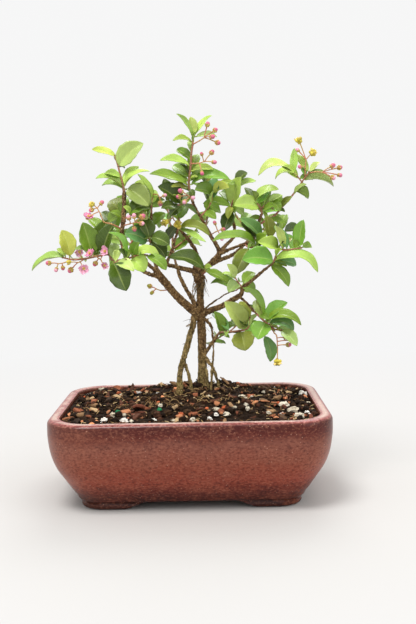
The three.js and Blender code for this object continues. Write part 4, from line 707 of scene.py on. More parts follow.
def add_sheet(mesh, top, bottom, rows, columns, kind, tints, coords):
    """A sheet with two skins and a narrow edge, from its upper and lower points row by row."""
    wide = columns + 1
    count = (rows + 1) * wide
    upper = [[i * wide + k, i * wide + k + 1, (i + 1) * wide + k + 1, (i + 1) * wide + k]
             for i in range(rows) for k in range(columns)]
    lower = [[count + i for i in reversed(face)] for face in upper]
    edge = []
    for a in range(0, rows * wide, wide):
        b = a + wide
        edge.append([a, b, b + count, a + count])
        edge.append([b + columns, a + columns, a + columns + count, b + columns + count])
    for k in range(columns):
        a = rows * wide + k
        edge.append([k + 1, k, k + count, k + 1 + count])
        edge.append([a, a + 1, a + 1 + count, a + count])
    mesh.add(top + bottom, upper + lower + edge, kind, tints, coords * 2)


def add_blade(mesh, blade, colour, under, seed):
    """A folded, waved blade with an upper and an under skin."""
    fold = between(seed + 2.3, 0.3, 0.72)
    wave = between(seed, 0.012, 0.04) * blade.length
    phase = between(seed + 0.4, 0, 6)
    curl = between(seed + 0.7, -0.02, 0.15) * blade.length
    twist = between(seed + 0.9, -0.45, 0.45)
    bend = between(seed + 1.1, -0.05, 0.05) * blade.length
    top, bottom, tints, coords = [], [], [], []
    for i in range(LENGTHS + 1):
        t = i / LENGTHS
        belly = sin(pi * t)
        centre, side, normal = blade.at(t)
        half = blade.width / 2 * leaf_half(t) + 0.12
        turn = twist * (t - 0.3)
        side, normal = spin(side, normal, turn), spin(normal, -side, turn)
        centre = centre + side * bend * belly * t
        shade = 1 - 0.12 * t + 0.1 * sin(t * 5 + phase)
        for k in range(-WIDTHS, WIDTHS + 1):
            v = k / WIDTHS
            lift = abs(v) ** 1.25 * half * fold
            lift += wave * sin(t * 8 + phase + (1.6 if v > 0 else 0)) * v * v * belly
            lift -= curl * t ** 2.5 + 0.22 * (1 - abs(v)) ** 6 * belly
            serrate = 1 + 0.035 * sin(t * 26 + phase * 3 + v)
            place = centre + side * half * v * serrate + normal * lift
            top.append(place + normal * SKIN / 2)
            bottom.append(place - normal * SKIN / 2)
            tints.append(dimmed(colour, shade))
            coords.append((t, v * 0.5 + 0.5))
    add_sheet(mesh, top, bottom, LENGTHS, 2 * WIDTHS, LEAF, tints + [under] * len(top), coords)


def add_leaf(mesh, blade, tone, seed):
    """A blade on its stalk, in its own shade."""
    shade = between(seed + 1.3, 0.84, 1.16)
    warm = between(seed + 1.7, -0.07, 0.07)
    base = LEAF_TONES[tone]
    colour = (base[0] * (shade + warm), base[1] * shade, base[2] * (shade - warm), 1.0)
    add_blade(mesh, blade, colour, mix(UNDERSIDE, colour, 0.45), seed)
    spots = [blade.at(t) for t in (0.03, 0.14, 0.5)]
    line = [blade.root] + [centre - normal * 0.24 for centre, side, normal in spots]
    tube(mesh, line, [0.5, 0.45, 0.34, 0.12], 6, TWIG, mix(colour, LEAF_TONES["yellow"], 0.35), step=2.5)


TWIG_YOUNG, TWIG_OLD = palette((170, 108, 84), (136, 100, 68))
BARK, BARK_DARK, ROOT_TONE = palette((142, 108, 68), (108, 78, 52), (156, 138, 82))
YOUNG_TONES = ["mid", "lime", "dark", "olive", "pale", "mid", "bright"]
YOUNG_TRIES = 6
YOUNG_LENGTH = (5.0, 12.0)
YOUNG_SIDE = (98, 64)
THICK_TWIG = 0.7
DRAWN_BACK = 1.1
NODE_SWELL = 1.28


def name_number(name):
    return sum(ord(c) * (i + 1) for i, c in enumerate(name)) % 997


def young_leaves(name, twigs):
    """Short leaves between a shoot's grown ones, where there is room for them."""
    found = []
    rng = random.Random(name_number(name))
    for line in twigs:
        points = [seen(*p) for p in line]
        for start, end in zip(points, points[1:]):
            for _ in range(YOUNG_TRIES):
                root = start + (end - start) * rng.random()
                way = vec(rng.uniform(-1, 1), rng.uniform(-1, 1), rng.uniform(-0.4, 1))
                way = unit(way + unit(end - start) * 0.4)
                length = rng.uniform(*YOUNG_LENGTH)
                tip = root + way * (1 + length) - vec(0, 0, 0.8)
                width = length * rng.uniform(0.36, 0.5)
                blade = Blade(root, root + way, tip, width, rng.uniform(0.4, 0.9), 0.6)
                samples = blade.samples()
                inside = abs(tip[0]) < YOUNG_SIDE[0] and abs(tip[1]) < YOUNG_SIDE[1]
                if inside and not room.crowded(samples[3:], 0.35, name, True):
                    room.take_blade(samples, name)
                    found.append(blade)
                    break
    return found


def build_shoot(name, twigs, tones):
    mesh = Mesh()
    for n, line in enumerate(twigs):
        colour = TWIG_OLD if line[0][3] > THICK_TWIG else TWIG_YOUNG
        points = stem(mesh, line, 8, TWIG, colour, TWIG_YOUNG,
                      drawn_back=DRAWN_BACK, step=1.6, rough=0.08, seed=n)
        for before, point, (*_, ring) in zip(points, points[1:], line[1:]):
            along = unit(point - before)
            tube(mesh, [point - along * 0.5, point, point + along * 0.5], [ring, ring * NODE_SWELL, ring],
                 8, TWIG, TWIG_OLD, step=0.5)
    number = name_number(name)
    for n, blade in enumerate(leaves_on[name]):
        if blade is not None:
            add_leaf(mesh, blade, tones[n % len(tones)], number + n * 3.1)
    for n, blade in enumerate(young_leaves(name, twigs)):
        add_leaf(mesh, blade, YOUNG_TONES[n % len(YOUNG_TONES)], number + n * 2.3 + 500)
    mesh.build(name + "_fine", [LEAF_MATERIAL, TWIG_MATERIAL], name, "leaf_green")


PINK, MAUVE, PINK_PALE, MAGENTA = palette((218, 104, 152), (186, 96, 140), (248, 196, 218), (190, 70, 116))
STALK_RED, STALK_GREEN, GLAND_TONE = palette((190, 114, 88), (190, 176, 92), (176, 164, 70))
SPENT_TONE, SPENT_PETAL, ANTHER = palette((220, 202, 74), (232, 206, 120), (226, 190, 80))
BUD_TONES = {"flowers_low_left": linear(150, 146, 60), "flowers_left_mid": linear(200, 74, 122)}
SPENT_SIZE = 1.18
PETAL_ROWS = 9
PETAL_COLUMNS = 8


def ball(mesh, centre, radius, kind, tint, tint_top=None, axis=None, long=1.0, rows=7, sides=10, crumple=0.0,
         seed=0):
    """A round body, stretched along its axis, with shallow creases."""
    axis = vec(0, 0, 1) if axis is None else unit(axis)
    side = unit(np.cross(axis, vec(1, 0.2, 0.1)))
    over = np.cross(axis, side)
    points, tints, coords = [], [], []
    for i in range(rows + 1):
        lat = pi * i / rows
        for lon in circle(sides):
            reach = radius * sin(lat) * (1 + crumple * sin(5 * lon + seed) * sin(lat))
            points.append(centre - axis * radius * long * cos(lat) + spin(side, over, lon) * reach)
            tints.append(mix(tint, tint_top or tint, i / rows))
            coords.append((lon / (2 * pi), i / rows))
    faces = []
    for n, (a, b, c, d) in enumerate(band(rows, sides)):
        faces.append([a, c, d] if n < sides else [a, b, d] if n >= (rows - 1) * sides else [a, b, c, d])
    mesh.add(points, faces, kind, tints, coords)


def add_calyx(mesh, centre, axis, radius, seed, rings=1):
    """Oval glands sit close round the foot of each bud and bloom."""
    side = unit(np.cross(axis, vec(0.3, 1, 0.2)))
    over = np.cross(axis, side)
    for ring in range(rings):
        for k in range(7):
            out = spin(side, over, 2 * pi * (k + 0.5 * ring) / 7 + seed)
            place = centre + out * radius * (0.58 + 0.24 * ring) - axis * radius * (0.66 - 0.5 * ring)
            green = mix(GLAND_TONE, STALK_GREEN, draw(seed + k))
            tint = mix(green, STALK_RED, 0.6 * draw(seed + k * 3 + ring))
            size = radius * between(seed + k, 0.24, 0.34)
            ball(mesh, place, size, GLAND, tint, axis=axis, long=1.35, rows=5, sides=7)


def add_stalk(mesh, root, aim, end, thick, tint):
    points = [root, (root + aim) / 2 + vec(0, 0, 0.3), end]
    tube(mesh, points, [thick, thick - 0.02, 0.5], 7, TWIG, STALK_RED, tint)


def add_bud(mesh, root, centre, radius, seed, tone=None):
    axis = unit(centre - root)
    foot = centre - axis * radius * 0.8
    add_stalk(mesh, root, foot, foot, 0.36, mix(STALK_RED, STALK_GREEN, draw(seed)))
    tone = tone or mix(PINK, [MAUVE, MAGENTA, PINK_PALE, MAGENTA][int(draw(seed + 5) * 4)], 0.5)
    ball(mesh, centre + axis * radius * 0.15, radius * 0.84, BUD, mix(tone, GLAND_TONE, 0.45), tone, axis,
         long=1.1, rows=9, sides=15, crumple=0.09, seed=seed)
    add_calyx(mesh, centre, axis, radius, seed, rings=2 if draw(seed + 3) > 0.35 else 1)


def add_petal(mesh, centre, facing, across, over, angle, radius, tone, seed, claw):
    """A clawed petal: a narrow foot, then a round, cupped limb with a crumpled and fringed edge."""
    out = spin(across, over, angle)
    side = np.cross(facing, out)
    cup = between(seed + 0.6, 0.2, 0.6)
    top, bottom, tints, coords = [], [], [], []
    for i in range(PETAL_ROWS + 1):
        t = i / PETAL_ROWS
        half = radius * (0.06 if t < 0.22 else 0.06 + 0.46 * sin(pi * (t - 0.22) / 0.9) ** 0.6)
        for k in range(PETAL_COLUMNS + 1):
            v = 2 * k / PETAL_COLUMNS - 1
            crumple = radius * t * (0.09 * sin(t * 13 + v * 6 + seed) + 0.06 * sin(v * 15 + seed * 3))
            rise = radius * (cup * t * t + 0.3 * v * v * t) + crumple
            fringe = 1 + 0.07 * sin(v * 21 + seed * 5) * t
            point = (centre + out * radius * (0.06 + t) * (1 - 0.09 * v * v) * fringe
                     + side * half * v + facing * rise)
            top.append(point + facing * 0.1)
            bottom.append(point - facing * 0.1)
            fade = 0.45 * (1 - t) ** 3 + 0.1 * draw(seed + 9) + 0.1 * sin(v * 9 + seed) ** 2
            tints.append(mix(tone, claw, min(fade, 1)))
            coords.append((t, v * 0.5 + 0.5))
    add_sheet(mesh, top, bottom, PETAL_ROWS, PETAL_COLUMNS, PETAL, tints * 2, coords)


def add_open(mesh, root, centre, radius, seed):
    add_stalk(mesh, root, centre, centre - unit(centre - root) * 0.5, 0.38, STALK_GREEN)
    lean = vec(between(seed, -1, 1), between(seed + 1, -0.6, 0.2), between(seed + 2, -0.3, 1))
    facing = unit(unit(EYE - centre) * 0.7 + lean)
    across = unit(np.cross(facing, vec(0, 0, 1)))
    over = np.cross(across, facing)
    tone = mix(PINK_PALE, PINK, between(seed + 2, 0, 0.6))
    for k, turn in enumerate(circle(5)):
        add_petal(mesh, centre, facing, across, over, turn + between(seed + k, -0.15, 0.15),
                  radius * between(seed + k, 0.72, 1.04), tone, seed + k * 1.7, PINK)
    for angle in circle(9):
        end = centre + facing * radius * 0.42 + spin(across, over, angle) * radius * 0.2
        tube(mesh, [centre, (centre + end) / 2, end], [0.12, 0.1, 0.1], 5, TWIG, STALK_GREEN)
        ball(mesh, end, 0.26, GLAND, ANTHER, rows=5, sides=6)
    ball(mesh, centre + facing * radius * 0.12, radius * 0.2, GLAND, STALK_GREEN, rows=6, sides=9)
    add_calyx(mesh, centre + facing * 0.1, facing, radius * 0.42, seed)


def add_spent(mesh, root, centre, radius, seed):
    """A spent bloom keeps its yellowed glands and a few shrunken petals."""
    radius = radius * SPENT_SIZE
    axis = unit(centre - root)
    add_stalk(mesh, root, centre, centre - axis * 0.4, 0.36, STALK_GREEN)
    for k in range(7):
        rise = 1 - 2 * (k + 0.5) / 7
        lobe = spin(vec(1, 0, 0), vec(0, 0, 1), 2.4 * k + seed) * sqrt(1 - rise * rise) + vec(0, rise, 0)
        tint = mix(SPENT_TONE, GLAND_TONE, draw(seed + k))
        ball(mesh, centre + lobe * radius * 0.5, radius * 0.42, SPENT, tint,
             crumple=0.12, seed=k, axis=lobe, long=1.1, rows=7, sides=11)
    side = unit(np.cross(axis, vec(0.3, 1, 0.2)))
    over = np.cross(side, axis)
    for k in range(3):
        add_petal(mesh, centre, axis, side, over, 2.1 * k + seed,
                  radius * 0.95, SPENT_PETAL, seed + k, SPENT_TONE)


def build_cluster(name, stalks):
    mesh = Mesh()
    for n, line in enumerate(stalks):
        stem(mesh, line, 8, TWIG, STALK_RED, mix(STALK_RED, STALK_GREEN, 0.5),
             drawn_back=DRAWN_BACK, step=1.0, rough=0.06, seed=n)
        for p in line[1:]:
            ball(mesh, seen(*p), p[3] * 1.45, GLAND, mix(STALK_GREEN, STALK_RED, 0.4), rows=5, sides=8)
    makers = {"bud": add_bud, "open": add_open, "spent": add_spent}
    for kind, root, centre, radius, seed in blooms_on[name]:
        own = [BUD_TONES[name]] if kind == "bud" and name in BUD_TONES else []
        makers[kind](mesh, root, centre, radius, seed + name_number(name) * 0.13, *own)
    mesh.build(name + "_fine", [LEAF_MATERIAL, TWIG_MATERIAL, BUD_MATERIAL, PETAL_MATERIAL, GLAND_MATERIAL,
                                GLAND_MATERIAL], name, "petals")


# Materials are all made from shader nodes.
def grey(v):
    return (v, v, v, 1.0)


class Shader:
    """A Principled material with short ways to add nodes. A tone of three numbers is a picture colour."""

    def __init__(self, name, rough, shine=0.5, **values):
        self.material = bpy.data.materials.new(name)
        self.material.use_nodes = True
        self.tree = self.material.node_tree
        self.surface = self.tree.nodes["Principled BSDF"].inputs
        self.place = self.node("TexCoord").outputs["Object"]
        for socket, value in {"Roughness": rough, "Specular_IOR_Level": shine, **values}.items():
            self.wire(self.surface[socket.replace("_", " ")], value)

    def wire(self, socket, value):
        if isinstance(value, bpy.types.NodeSocket):
            self.tree.links.new(value, socket)
        else:
            socket.default_value = value

    def node(self, kind, **inputs):
        made = self.tree.nodes.new("ShaderNode" + kind)
        for name, value in inputs.items():
            self.wire(made.inputs[name.replace("_", " ")], value)
        return made

    def math(self, operation, *values):
        made = self.tree.nodes.new("ShaderNodeMath")
        made.operation = operation
        for socket, value in zip(made.inputs, values):
            self.wire(socket, value)
        return made.outputs[0]

    def times(self, a, b):
        return self.math("MULTIPLY", a, b)

    def plus(self, a, b):
        return self.math("ADD", a, b)

    def minus(self, a, b):
        return self.math("SUBTRACT", a, b)

    def split(self, vector):
        return self.node("SeparateXYZ", Vector=vector).outputs

    def stretched(self, height):
        x, y, z = self.split(self.place)
        return self.node("CombineXYZ", X=x, Y=y, Z=self.times(z, height)).outputs[0]

    def blend(self, share, a, b, how="MIX"):
        made = self.tree.nodes.new("ShaderNodeMix")
        made.data_type = "RGBA"
        made.blend_type = how
        for socket, value in ((0, share), (6, a), (7, b)):
            is_tone = isinstance(value, tuple) and len(value) == 3
            self.wire(made.inputs[socket], linear(*value) if is_tone else value)
        return made.outputs[2]

    def stain(self, colour, value, low, high, most, tone, how="MIX"):
        """Blends a tone in as a value runs from low to high, by the share most at the end."""
        return self.blend(self.times(self.level(value, low, high), most), colour, tone, how)

    def stains(self, colour, *rows):
        for row in rows:
            colour = self.stain(colour, *row)
        return colour

    def dim(self, colour, value, low, high, most, dark):
        return self.stain(colour, value, low, high, most, grey(dark), "MULTIPLY")

    def ramp(self, value, *stops):
        made = self.node("ValToRGB", Fac=value)
        points = made.color_ramp.elements
        while len(points) < len(stops):
            points.new(0.5)
        for point, (place, tone) in zip(points, stops):
            point.position = place
            point.color = tone if len(tone) == 4 else linear(*tone)
        return made.outputs[0]

    def level(self, value, low, high):
        """Runs from 0 to 1 as the value runs from low to high."""
        return self.node("MapRange", Value=value, From_Min=low, From_Max=high).outputs[0]

    def noise(self, scale, detail=4.0, rough=0.6, place=None):
        place = place or self.place
        return self.node("TexNoise", Vector=place, Scale=scale, Detail=detail, Roughness=rough).outputs[0]

    def cells(self, scale):
        return self.node("TexVoronoi", Vector=self.place, Scale=scale).outputs[0]

    def tint(self):
        made = self.node("Attribute")
        made.attribute_name = "tint"
        return made.outputs["Color"]

    def done(self, colour, height, strength, distance=0.0005, rough=None):
        self.wire(self.surface["Base Color"], colour)
        bump = self.node("Bump", Height=height, Strength=strength, Distance=distance)
        self.wire(self.surface["Normal"], bump.outputs[0])
        if rough:
            self.wire(self.surface["Roughness"], rough)
        return self.material


def leaf_material():
    s = Shader("leaf_skin", 0.42, 0.4)
    along = s.node("UVMap")
    along.uv_map = "along"
    run, across, _ = s.split(along.outputs[0])
    off = s.times(s.math("ABSOLUTE", s.minus(across, 0.5)), 2.0)
    rib = s.level(off, 0.09, 0.02)
    slant = s.minus(s.times(run, 8.0), s.times(off, 1.5))
    wave = s.math("ABSOLUTE", s.math("SINE", s.times(slant, pi)))
    vein = s.times(s.level(wave, 0.17, 0.02), s.level(off, 0.95, 0.5))
    blotch, fine = s.noise(420.0, 3.0), s.noise(2600.0, 2.0)
    colour = s.dim(s.tint(), blotch, 0.35, 0.72, 0.3, 0.62)
    lifted = s.blend(0.4, colour, (196, 208, 116))
    colour = s.blend(s.times(rib, 0.7), colour, lifted)
    colour = s.blend(s.times(vein, 0.22), colour, lifted)
    height = s.minus(s.times(fine, 0.12), s.plus(s.times(vein, 0.5), rib))
    return s.done(colour, height, 0.35, 0.0003, s.level(fine, 0.0, 1.6))


def twig_material():
    s = Shader("young_twig", 0.6)
    spots, mottle = s.cells(900.0), s.noise(300.0)
    colour = s.blend(s.level(mottle, 0.4, 0.75), s.tint(), grey(0.6), "MULTIPLY")
    colour = s.stain(colour, spots, 0.26, 0.16, 0.5, (196, 184, 150))
    return s.done(colour, s.plus(mottle, s.level(spots, 0.3, 0.1)), 0.4)


def soft_material(name, rough, scale):
    s = Shader(name, rough, 0.25)
    mottle = s.noise(scale)
    return s.done(s.dim(s.tint(), mottle, 0.4, 0.8, 0.35, 0.7), mottle, 0.3)


def bark_material():
    s = Shader("bark_skin", 0.85, 0.25)
    fibres = s.noise(1300.0, 6.0, 0.75, s.stretched(0.22))
    rings = s.noise(520.0, 4.0, 0.6, s.stretched(3.0))
    patches, pores, dots = s.noise(380.0, 4.0, 0.7), s.cells(420.0), s.cells(640.0)
    colour = s.stains(s.tint(),
                      (patches, 0.46, 0.62, 0.6, (196, 160, 108)), (patches, 0.48, 0.36, 0.6, (84, 58, 36)),
                      (fibres, 0.5, 0.38, 0.85, (48, 31, 18)), (rings, 0.46, 0.34, 0.75, (50, 33, 20)),
                      (pores, 0.2, 0.1, 0.8, (220, 190, 140)), (dots, 0.66, 0.84, 0.7, (40, 26, 15)))
    return s.done(colour, s.plus(fibres, s.times(rings, 0.8)), 1.0, 0.0014)


def soil_material():
    s = Shader("potting_mix", 0.95, 0.12)
    crumbs, fine, broad = s.cells(520.0), s.noise(1400.0, 6.0, 0.75), s.noise(110.0, 3.0)
    shade = s.ramp(fine, (0.3, (18, 12, 8)), (0.5, (44, 30, 20)), (0.7, (104, 76, 52)))
    colour = s.stains(s.blend(0.4, s.tint(), shade), (crumbs, 0.35, 0.6, 0.6, (22, 15, 11)),
                      (broad, 0.55, 0.75, 0.3, (92, 66, 44)))
    return s.done(colour, s.plus(fine, crumbs), 0.9, 0.0009)


def bit_material():
    """The skin of loose bits: bark chips, clay, perlite and rootlets, tinted bit by bit."""
    s = Shader("loose_bits", 0.85, 0.2)
    grain = s.noise(900.0, 5.0, 0.7)
    return s.done(s.dim(s.tint(), grain, 0.55, 0.3, 0.55, 0.35), grain, 0.7, 0.0006)


def glaze_material():
    """Red-brown glaze: dark and blotchy under the lip, greyish above the middle, redder below it."""
    s = Shader("pot_glaze", 0.3, 0.2, Coat_Weight=0.16, Coat_Roughness=0.1)
    x, _, z = s.split(s.place)
    flat = s.stretched(1.6)
    cloud, grain, specks = s.noise(42.0, 5.0, 0.7, flat), s.noise(560.0, 3.0, 0.65, flat), s.cells(330.0)
    drift = s.plus(z, s.times(s.minus(cloud, 0.5), 0.02))
    drift = s.plus(drift, s.times(s.minus(grain, 0.5), 0.009))
    body = s.ramp(s.times(drift, 1 / 0.058), (0.05, (48, 12, 7)), (0.2, (92, 28, 16)), (0.36, (144, 60, 40)),
                  (0.56, (134, 68, 50)), (0.76, (118, 66, 53)), (0.85, (84, 26, 17)), (0.95, (62, 8, 5)))
    # Of these stains, the one that runs with x lightens the pot's left end: a painted highlight.
    body = s.stains(body,
                    (cloud, 0.5, 0.66, 0.35, (152, 88, 66)), (x, -0.03, -0.1, 0.3, (150, 92, 72)),
                    (grain, 0.5, 0.7, 0.38, (164, 106, 82)), (grain, 0.5, 0.33, 0.6, (54, 14, 9)),
                    (specks, 0.13, 0.07, 0.55, (186, 142, 120)))
    # The lip's colour follows its facing: the top keeps a redder pink, and the sides take a paler, greyer
    # tone, which is the glaze's colour with a painted sheen on it.
    facing = s.split(s.node("NewGeometry").outputs["Normal"])[2]
    lip_side_sheen_tone = s.ramp(grain, (0.38, (104, 58, 48)), (0.52, (136, 92, 78)), (0.66, (166, 128, 110)))
    top_tone = s.ramp(grain, (0.38, (106, 44, 40)), (0.52, (142, 74, 68)), (0.66, (172, 114, 106)))
    lip_tone = s.blend(s.level(facing, 0.35, 0.85), lip_side_sheen_tone, top_tone)
    body = s.blend(s.level(z, 0.0563, 0.0574), body, lip_tone)
    # A thin pale band round the top of the lip, broken up by the cloud noise, is a painted highlight.
    edge = s.times(s.level(z, 0.0576, 0.0582), s.level(z, 0.0595, 0.0589))
    body = s.blend(s.times(s.times(edge, s.level(cloud, 0.36, 0.5)), 0.7), body, (218, 202, 184))
    relief = s.plus(s.times(cloud, 1.5), s.times(grain, 0.5))
    return s.done(body, relief, 0.4, 0.0006, s.level(grain, -0.5, 2.2))


def screen_material():
    s = Shader("drain_mesh_plastic", 0.55)
    grain = s.noise(800.0)
    return s.done(s.ramp(grain, (0.3, grey(0.012)), (0.7, grey(0.03))), grain, 0.2)


WHITE = 0.925
GLOW = 0.34
PAPER_NEAR = (0.505, 0.492, 0.474, 1.0)
PAPER_WIDE = (0.318, 0.310, 0.300, 1.0)


def floor_material():
    """A pale table that takes the shadow of the pot and runs out into an even white."""
    s = Shader("pale_table", 0.9, 0.0, Emission_Color=grey(1.0))
    spread = s.node("Mapping", Vector=s.place, Scale=(0.75, 0.75, 0.75)).outputs[0]
    away = s.node("TexGradient", Vector=spread)
    away.gradient_type = "SPHERICAL"
    far, round_pot = s.level(away.outputs[1], 0.8, 0.5), s.level(away.outputs[1], 0.93, 0.82)
    paper = s.blend(s.times(s.noise(6.0), 0.05), s.blend(round_pot, PAPER_NEAR, PAPER_WIDE), grey(0.3))
    s.wire(s.surface["Base Color"], s.blend(far, paper, grey(0.0)))
    s.wire(s.surface["Emission Strength"], s.plus(s.times(round_pot, GLOW), s.times(far, WHITE - GLOW)))
    return s.material


LEAF_MATERIAL = leaf_material()
TWIG_MATERIAL = twig_material()
BUD_MATERIAL = soft_material("bud_skin", 0.55, 1500.0)
PETAL_MATERIAL = soft_material("petal_skin", 0.65, 1200.0)
GLAND_MATERIAL = soft_material("gland_skin", 0.45, 1800.0)
BARK_MATERIAL = bark_material()
SOIL_MATERIAL = soil_material()
BIT_MATERIAL = bit_material()
GLAZE_MATERIAL = glaze_material()
SCREEN_MATERIAL = screen_material()
FLOOR_MATERIAL = floor_material()
REAR_TONES = "mid lime mid bright dark mid lime".split()
for name, twigs, leaves in shoots:
    build_shoot(name, twigs, [leaf[0] for leaf in leaves])
for name, twigs, _ in back_shoots:
    build_shoot(name, twigs, REAR_TONES)
for name, stalks, _ in clusters:
    build_cluster(name, stalks)


# The wood is one grown-together skin over the trunk, branches and roots.
KNOT = seen(7.0, 8.0, 144.0)
VOXEL = 0.39
ROOT_TONE_TOP = {True: 120, False: 98}
FIBRES = """
-2.5 6 108.5 0.4, 2 6 111 0.4, 6 8 113.5 0.4; 10 8 112 0.35, 12.4 7 113.2 0.3, 15 7 114.5 0.25; 5 6 138 0.5,
3 5 136 0.4, 2.7 5 130 0.35, 4 5 126 0.35, 3 5 121 0.3; 8 5 138 0.5, 8.6 4.6 134 0.35, 9.4 5 130 0.3;
6.4 5 138 0.5, 5.8 4.8 134.5 0.3, 6.2 4.6 131 0.25; 9.5 7 143 0.6, 11.5 6 140 0.4, 12.3 6 136.5 0.3
"""


def read_points(mesh):
    """All points of a mesh in millimetres, and their normals."""
    spots, normals = np.zeros(len(mesh.vertices) * 3), np.zeros(len(mesh.vertices) * 3)
    mesh.vertices.foreach_get("co", spots)
    mesh.vertices.foreach_get("normal", normals)
    return spots.reshape(-1, 3) / MM, normals.reshape(-1, 3)


def apply_modifiers(piece):
    graph = bpy.context.evaluated_depsgraph_get()
    mesh = bpy.data.meshes.new_from_object(piece.evaluated_get(graph))
    mesh.name = piece.name
    piece.modifiers.clear()
    piece.data = mesh


def coat(mesh, material):
    """Makes a whole mesh smooth and gives it one material."""
    mesh.polygons.foreach_set("use_smooth", [True] * len(mesh.polygons))
    mesh.materials.clear()
    mesh.materials.append(material)


def uneven(x, y, z):
    return noise.noise(Vector((x, y, z)))


def bark_noise(p, scale, seed=0.0):
    return uneven(p[0] * scale + seed, p[1] * scale, p[2] * scale * 0.4)


def knotted(p, reach):
    return max(0.0, 1 - np.linalg.norm(p - KNOT) / reach)


def bark_tone(p):
    low = min(max((ROOT_TONE_TOP[bool(p[0] < 5.5)] - p[2]) / 20, 0), 1)
    fine = min(max((p[2] - 150) / 14, 0), 1)
    colour = mix(mix(BARK, ROOT_TONE, low), TWIG_OLD, fine)
    colour = mix(colour, BARK_DARK, min(knotted(p, 12) * 1.2, 0.7))
    return dimmed(colour, 0.84 + 0.5 * (bark_noise(p, 0.35, 2) + 0.2))


def build_wood():
    mesh = Mesh()
    for n, line in enumerate(wood_lines):
        stem(mesh, line, 20, 0, BARK, step=0.8, rough=0.05, seed=n * 1.3)
    for k in range(16):
        away = vec(between(k + 11, -3.4, 3.4), between(k + 21, -3.2, 2.6), between(k + 31, -6, 5))
        ball(mesh, KNOT + away, between(k + 41, 0.8, 1.8), 0, BARK, sides=9, crumple=0.2, seed=k)
    for hair in table(FIBRES):
        stem(mesh, hair, 8, 0, BARK, step=0.6)
    piece = mesh.build("wood_skin", [BARK_MATERIAL], "tree_wood", "bark")
    remesh = piece.modifiers.new("skin", "REMESH")
    remesh.mode = "VOXEL"
    remesh.voxel_size = VOXEL * MM
    apply_modifiers(piece)
    spots, normals = read_points(piece.data)
    for i, (p, normal) in enumerate(zip(spots, normals)):
        rough = (0.4 * bark_noise(p, 0.8) + 0.3 * bark_noise(p, 1.9, 7)
                 + knotted(p, 11) * 0.9 * bark_noise(p, 0.8, 3))
        spots[i] = p + normal * (rough + 0.24 * uneven(p[0] * 0.6, p[1] * 0.6, p[2] * 2.1))
    piece.data.vertices.foreach_set("co", (spots * MM).ravel())
    coat(piece.data, BARK_MATERIAL)
    layer = piece.data.color_attributes.new("tint", "FLOAT_COLOR", "POINT")
    layer.data.foreach_set("color", np.array([bark_tone(p) for p in read_points(piece.data)[0]]).ravel())


HAIRS = 70
KNOT_HAIRS = 34
CROTCH_HAIRS = 18
HAIR_STEPS = 5


def build_hairs():
    """Fine root hairs hang from the knot and fray off the old roots."""
    mesh = Mesh()
    rng = random.Random(19)
    some = rng.uniform
    for k in range(HAIRS):
        if k < KNOT_HAIRS:
            start = seen(7 + some(-4, 4), 8, 140) + vec(0, some(-3.5, 2), some(-3, 2))
            drift, drop = vec(some(-0.5, 0.5), some(-0.3, 0.2), -1), some(5, 15)
        elif k < KNOT_HAIRS + CROTCH_HAIRS:
            start = seen(4 + some(-5, 9), 6, 114) + vec(0, some(-3, 2), some(-4, 3))
            drift, drop = vec(some(-1, 1), some(-0.6, 0.2), some(-1, 0.5)), some(4, 9)
        else:
            root = roots[k % len(roots)]
            start = seen(*root[rng.randrange(1, len(root) - 1)])
            drift, drop = vec(some(-1, 1), some(-0.6, 0.6), some(-1, 0.2)), some(2.5, 5)
        line = [start]
        for _ in range(HAIR_STEPS):
            drift = unit(drift + vec(some(-0.35, 0.35), some(-0.2, 0.2), some(-0.3, 0.1)))
            line.append(line[-1] + drift * drop / HAIR_STEPS)
        thick = some(0.09, 0.2)
        tone = mix(linear(96, 78, 48), linear(168, 148, 100), rng.random())
        tube(mesh, line, [thick, thick, thick, thick, thick * 0.8, thick * 0.5], 5, 0, tone)
    mesh.build("root_hairs", [BARK_MATERIAL], "tree_wood", "bark")


# The pot is turned from the same profile as the part, with finer steps. Profiles are heights and insets.
OUTER_LINE = [
    [5, 18.9], [5.3, 17.7], [6.2, 16.9], [7.9, 16.2], [12, 13.4], [19, 9.2], [27, 4.5], [36, 1.5], [46, 0.1],
    [53.8, 0.0], [55.4, 0.1], [56.4, 0.5], [57.3, 1.4], [57.8, 2.6], [58, 3.9], [57.9, 5.4], [57.5, 6.6],
]
INNER_LINE = [[11, 23], [14, 19], [24, 12.6], [36, 8.6], [48, 7.6], [56.6, 7.4], [57.5, 7.1], [60, 6.4]]
FOOT_LINE = [[0, 20.4], [0.5, 19.4], [1.4, 18.9], [3.4, 18.9], [4.6, 19.8], [6.4, 20.2]]
MIDDLE_LINE = [[-1, 29.4], [4.9, 29.0]]
ARCH_LINE = [(8.5, -1), (8.0, 0), (4.5, 0.7), (0, 2.2), (-4, 3.8), (-8, 4.95)]
DRAIN_X = 32
DRAIN_RADIUS = 6
SHARP_DEGREES = 38


def rounded_ring(z, inset, steps=14):
    half_width, half_depth = POT_WIDTH / 2 - inset, POT_DEPTH / 2 - inset
    radius = max(CORNER_RADIUS - inset * 0.55, 4)
    ring = []
    for n, (sx, sy) in enumerate([(1, 1), (-1, 1), (-1, -1), (1, -1)]):
        for k in range(steps + 1):
            angle = radians(90 * n + 90 * k / steps)
            ring.append(vec(sx * (half_width - radius) + radius * cos(angle),
                            sy * (half_depth - radius) + radius * sin(angle), z))
    return ring


def smooth_profile(line, step):
    return [p[:2] for p in smooth_line([(*p, 0) for p in line], [0] * len(line), step)[0]]


def loft(rings):
    points = [p for ring in rings for p in ring]
    sides = len(rings[0])
    ends = [list(range(sides))[::-1], list(range(len(points) - sides, len(points)))]
    return points, band(len(rings) - 1, sides) + ends


def solid(name, rings):
    mesh = new_mesh(name, *loft(rings))
    shell = bmesh.new()
    shell.from_mesh(mesh)
    bmesh.ops.recalc_face_normals(shell, faces=shell.faces)
    shell.to_mesh(mesh)
    shell.free()
    return show(name, mesh)


def turned_solid(name, profile):
    return solid(name, [rounded_ring(*p) for p in profile])


